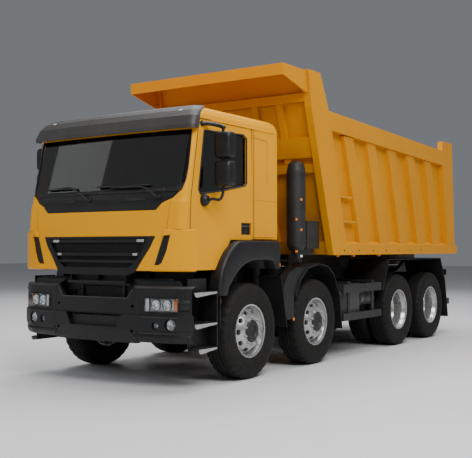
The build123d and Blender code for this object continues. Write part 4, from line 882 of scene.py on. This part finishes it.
def front_backing():
    """Dark panels behind the bumper's notch, between the rails' ends and the wings."""
    bm = bmesh.new()
    for y, top in (((-975, -335), 1150), ((-280, 280), 1055), ((335, 975), 1150)):
        block(bm, (1086, 1094), y, (905, top))
    skin(bm, on_bumper, 1, range(-360, 361, 30), [(z, 57) for z in (600, 670, 745)])
    piece("front_backing", "root", "rubber", bm, bevel=2)


# ---- seats
PAD_INSET = 24  # how much smaller the block is than the pad, on each face
PAD_VOXEL = 0.016  # this and the next three are in metres
PAD_EDGE_RISE = 0.005
PAD_CROWN = 0.019
SEAM_HALF = 0.018
SEAM_PRESS = 0.05  # share of the way to the pad's middle that a seam is pressed in
CLOTH_PRESSURE = 4
CLOTH_FRAMES = 20
SEAT_Y = 520
SEAT_LEAN = -8
# Name, x, half width, z, fill, how far the seams are from the middle, and x of the foot that it leans about.
PADS = [("seat_cushion", (-380, 160), 250, (1505, 1640), 0.7, 130, None),
        ("seat_back", (-395, -275), 240, (1640, 2245), 0.7, 120, -330),
        ("headrest", (-500, -415), 130, (2262, 2430), 0.8, None, -460)]


def crown(place, middle, half):
    """Most a pad's skin may rise at a place: full in the middle of each face, little at its edges."""
    shares = sorted(min(abs(p - m) / h, 1) for p, m, h in zip(place, middle, half))
    return PAD_EDGE_RISE + PAD_CROWN * (1 - shares[0] ** 3) * (1 - shares[1] ** 3)


def blow_up(obj):
    """Cloth pressure from inside, applied to the mesh."""
    cloth = obj.modifiers.new("cloth", "CLOTH")
    cloth.settings.use_pressure = True
    cloth.settings.uniform_pressure_force = CLOTH_PRESSURE
    cloth.settings.effector_weights.gravity = 0
    for frame_number in range(1, CLOTH_FRAMES + 1):
        bpy.context.scene.frame_set(frame_number)
    bpy.ops.object.modifier_apply(modifier="cloth")


def cushion(name, x, y, z, seams):
    """Foam pad blown up from a smaller block by cloth pressure, with sewn channels pressed in after."""
    bm = bmesh.new()
    block(bm, *[(a + PAD_INSET, b - PAD_INSET) for a, b in (x, y, z)])
    obj = piece(name, "cab", "seat_fabric", bm, crease=180)
    bpy.context.view_layer.objects.active = obj
    remesh = obj.modifiers.new("remesh", "REMESH")
    remesh.mode = "VOXEL"
    remesh.voxel_size = PAD_VOXEL
    bpy.ops.object.modifier_apply(modifier="remesh")
    start = [v.co.copy() for v in obj.data.vertices]
    blow_up(obj)
    low, high = at(x[0], y[0], z[0]), at(x[1], y[1], z[1])
    middle = (low + high) / 2
    half = [(b - a) / 2 - PAD_INSET / 1000 for a, b in zip(low, high)]
    for v, was in zip(obj.data.vertices, start):
        step = v.co - was
        rise = crown(was, middle, half)
        if step.length > rise:
            v.co = was + step.normalized() * rise
        for line in seams:
            near = abs(v.co.y - at(0, line, 0).y)
            if near < SEAM_HALF:
                v.co += (middle - v.co) * SEAM_PRESS * (1 - near / SEAM_HALF)
        for k in range(3):
            v.co[k] = min(max(v.co[k], low[k]), high[k])
    for face in obj.data.polygons:
        face.use_smooth = True
    finer = obj.modifiers.new("finer", "SUBSURF")
    finer.levels = finer.render_levels = 1
    return obj


def lean(obj, pivot, degrees):
    """Tilts a pad about a cross line, so the back and headrest lean as the seat's frame does."""
    turn = Matrix.Rotation(math.radians(degrees), 4, "Y")
    obj.data.transform(Matrix.Translation(at(*pivot)) @ turn @ Matrix.Translation(-at(*pivot)))


def seat(word, side):
    """Three pads on a base, with the headrest's two posts; returns the pads."""
    middle = side * SEAT_Y
    pads = []
    for name, x, half, z, fill, seam, pivot in PADS:
        seams = (middle - seam, middle + seam) if seam else ()
        pads.append(cushion(f"{name}_{word}", x, (middle - half, middle + half), z, seams))
        if pivot:
            lean(pads[-1], (pivot, middle, z[0]), SEAT_LEAN)
    bm = bmesh.new()
    block(bm, (-330, 120), (middle - 190, middle + 190), (1406, 1500))
    for y in (middle - 60, middle + 60):
        tube(bm, [(-420, y, 2200), (-452, y, 2290)], 7, 8)
    piece(f"seat_base_{word}", "cab", "interior_plastic", bm, bevel=8)
    return pads


def seats():
    pads = [pad for word, side in SIDES.items() for pad in seat(word, side)]
    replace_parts(pads[0], "cab_seats")


# ---- dump body
RAIL_BUTTONS_X = range(-2250, -4951, -450)
BODY_MARKERS_X = (-2110, -2580, -3410)
# Each leaning rib: x of its front edge at the top and at the foot.
RIBS = [(-2284, -2752), (-2997, -3419), (-3712, -4151), (-4422, -4845), (-5160, -5513)]
RIB_Y, RIB_FOOT, RIB_TOP, RIB_WIDTH = 1165, 1576, 2970, 300
WELD = 4
# Rungs of the ladder: z, front and back end.
RUNGS = [(2160, -2140, -2500), (1830, -2250, -2600)]


def rail_dressing(word, side):
    """Buttons along the bottom rail, and markers on brackets under it."""
    bm = bmesh.new()
    button = [(-2, 0), (-2, 19), (-0.5, 19), (0, 15), (0, 0)]
    for x in RAIL_BUTTONS_X:
        turned(bm, button, (x, side * 1250, 1436), (0, side, 0), 24)
    piece(f"rail_buttons_{word}", "dump_body", "dark_plastic", bm)
    markers, brackets = bmesh.new(), bmesh.new()
    for x in BODY_MARKERS_X:
        block(markers, (x - 26, x + 26), span(side, 1196, 1232), (1356, 1392))
        block(brackets, (x - 10, x + 10), span(side, 1200, 1214), (1390, 1412))
    piece(f"body_markers_{word}", "dump_body", "amber", markers, bevel=4)
    piece(f"marker_brackets_{word}", "dump_body", "dark_plastic", brackets)


def body_side_dressing(word, side):
    """Weld seams on both edges of each rib, and grips on the ladder's rungs."""
    bm = bmesh.new()
    for top, foot in RIBS:
        for shift in (WELD, -RIB_WIDTH - WELD):
            tube(bm, [(foot + shift, side * RIB_Y, RIB_FOOT), (top + shift, side * RIB_Y, RIB_TOP)], WELD, 6)
    piece(f"rib_welds_{word}", "dump_body", "body_yellow", bm)
    bm = bmesh.new()
    for z, front, back in RUNGS:
        for x in even(back + 20, front - 20, 8):
            block(bm, (x - 8, x + 8), span(side, 1175, 1240), (z + 14, z + 17))
    piece(f"rung_grips_{word}", "dump_body", "body_yellow", bm)


def tailgate_dressing(word, side):
    bm = bmesh.new()
    tube(bm, [(-6618, side * 930, 1500), (-6618, side * 930, 1545)], 20, 14)
    for z in (1510, 2030, 2550, 3050):
        nut(bm, (-6600, side * 1060, z), (-1, 0, 0), 14, 9)
    piece(f"gate_fastenings_{word}", "tailgate", "hoist_steel", bm, bevel=1)


# ---- chassis hardware
# Spring bolts: axles, x from the axle, the two y, foot and top, radius of bolt and of nut.
SPRING_BOLTS = [(("front", "second"), 70, (378, 442), (470, 606), 10, 17),
                (("third", "rear"), 74, (462, 524), (600, 760), 11, 18)]
SPRING_NUT_HEIGHT = 16
ROUND_TANKS = ((1040, 760), (790, 760))  # y, z
STACK_X, STACK_Y, STACK_RADIUS = -1300, 1050, 120


def spring_bolts():
    bm = bmesh.new()
    for axles, reach, places, (foot, top), radius, nut_radius in SPRING_BOLTS:
        for axle in axles:
            for side in SIDES.values():
                for x in (AXLES[axle] - reach, AXLES[axle] + reach):
                    for y in places:
                        tube(bm, [(x, side * y, foot), (x, side * y, top)], radius, 10)
                        nut(bm, (x, side * y, foot), (0, 0, -1), nut_radius, SPRING_NUT_HEIGHT)
    piece("spring_bolts", "root", "chassis_paint", bm)


def rail_bolts():
    bm = bmesh.new()
    for x in range(-5900, 900, 220):
        for side in SIDES.values():
            for z in (770, 970):
                nut(bm, (x, side * 430, z), (0, side, 0), 11, 9)
    piece("rail_bolts", "root", "hoist_steel", bm)


def hoop(inner, outer, half):
    """Profile of a flat band that is closed all round."""
    return [(-half, inner), (-half, outer), (half, outer), (half, inner), (-half, inner)]


def tank_straps():
    bm = bmesh.new()
    for y, z in ROUND_TANKS:
        for x in (-3330, -3020):
            turned(bm, hoop(106.5, 109, 16), (x, y, z), FORWARD, 44)
    for x in (-2500, -3150):
        block(bm, (x - 20, x + 20), (-1174, -1170), (590, 910))
    piece("tank_straps", "root", "hoist_steel", bm)


def on_stack(bm, profile, c, s, z, radius, segments):
    """A small turned form that stands out from the stack's skin."""
    turned(bm, profile, (STACK_X + radius * c, STACK_Y + radius * s, z), (c, s, 0), segments)


def stack_bands():
    """Two bands round the stack, and between them rows of small discs, every other row half a space on."""
    bm = bmesh.new()
    for z in (1560, 2400):
        turned(bm, hoop(STACK_RADIUS + 1, STACK_RADIUS + 5, 12), (STACK_X, STACK_Y, z), (0, 0, 1), 48)
    for row in range(11):
        for c, s in circle(30, 0.5 * (row % 2)):
            on_stack(bm, [(0, 0), (0, 6), (1.2, 5), (1.2, 0)], c, s, 1640 + 68 * row, STACK_RADIUS, 6)
    piece("stack_bands", "root", "chassis_paint", bm)


def stack_marks():
    """Small round marks on the side of the stack, in two standing rows."""
    for finish, heights in (("amber", (2080, 1830, 1700, 1430)), ("white_lens", (1370,))):
        bm = bmesh.new()
        for k, z in enumerate(heights):
            turn = math.radians(62 - 30 * (k % 2))
            on_stack(bm, [(-3, 0), (-3, 17), (5, 16), (8, 0)], math.cos(turn), math.sin(turn), z,
                     STACK_RADIUS + 1, 20)
        piece(f"stack_marks_{finish}", "root", finish, bm)


running_gear()
both_sides(lamp_cluster, bumper_dressing, fog_covers, side_markers)
both_sides(rear_lamps)
both_sides(windscreen_border)
wipers()
slat_end_highlights()
grille_mesh()
both_sides(mirror_arm, mirror_heads, mirror_bases)
both_sides(door_dressing, cab_side_lines)
both_sides(door_seams)
both_sides(wheel_housing)
both_sides(visor_lamps)
trough_recesses()
both_sides(arches)
both_sides(steps)
front_backing()
seats()
both_sides(rail_dressing, body_side_dressing)
both_sides(tailgate_dressing)
both_sides(step_treads)
spring_bolts()
rail_bolts()
tank_straps()
stack_bands()
stack_marks()


# ---- stage
# All of this section is in metres.
SKY = (0.8, 0.84, 0.9, 1)
SKY_STRENGTH = 0.22


def floor():
    surface("floor_paint", (0.62, 0.62, 0.63), (0.66, 0.66, 0.67), (0.55, 0.7), cloud=0.4, grain=60,
            bump=0.05)
    mesh = bpy.data.meshes.new("floor")
    bm = bmesh.new()
    bmesh.ops.create_grid(bm, x_segments=2, y_segments=2, size=60)
    bm.to_mesh(mesh)
    bm.free()
    obj = bpy.data.objects.new("floor", mesh)
    bpy.context.scene.collection.objects.link(obj)
    mesh.materials.append(MATERIAL["floor_paint"])


def area_light(name, place, target, size, power, glossy=True):
    """Soft light at a place, turned to a target; one that isn't glossy shows in no reflection."""
    light = bpy.data.lights.new(name, "AREA")
    light.shape = "RECTANGLE"
    light.size, light.size_y = size
    light.energy = power
    obj = bpy.data.objects.new(name, light)
    obj.location = place
    obj.rotation_mode = "QUATERNION"
    obj.rotation_quaternion = (Vector(target) - Vector(place)).to_track_quat("-Z", "Y")
    obj.visible_glossy = glossy
    bpy.context.scene.collection.objects.link(obj)


def studio():
    floor()
    world = bpy.data.worlds.new("studio")
    bpy.context.scene.world = world
    world.use_nodes = True
    put(world.node_tree.nodes["Background"], {"Color": SKY, "Strength": SKY_STRENGTH})
    area_light("key", (7, 8.5, 9.5), (1, 0, 1.5), (7, 5), 1350)
    area_light("front", (15, -5, 8), (2, 0, 1.5), (8, 5), 480, glossy=False)
    area_light("top", (-1, 0, 13), (0, 0, 0), (12, 8), 2300)
    area_light("screen_glow", (11.7, -7.75, 6.2), (1, -0.5, 2.4), (8, 5.5), 55)
    area_light("screen_card", (10.6, -9.5, 6.2), (1, -0.5, 2.4), (2.6, 4.8), 55)
    area_light("side_glow", (-12.5, 8.5, 4.5), (0, 1, 2.3), (8, 5), 30)
    area_light("back", (-12, -9, 8), (0, 0, 2), (8, 5), 600)


CAMERA_PLACE = (10.715, 6.454, 1.462)
CAMERA_HEADING = 180 + 34.13
CAMERA_PITCH = 1.436


def camera():
    data = bpy.data.cameras.new("camera")
    data.lens = 64.83
    data.sensor_width = 36
    data.shift_y = -0.0032
    data.clip_end = 200
    obj = bpy.data.objects.new("camera", data)
    bpy.context.scene.collection.objects.link(obj)
    heading, pitch = math.radians(CAMERA_HEADING), math.radians(CAMERA_PITCH)
    level = math.cos(pitch)
    look = Vector((math.cos(heading) * level, math.sin(heading) * level, math.sin(pitch)))
    obj.location = CAMERA_PLACE
    obj.rotation_mode = "QUATERNION"
    obj.rotation_quaternion = look.to_track_quat("-Z", "Y")
    bpy.context.scene.camera = obj


studio()
camera()
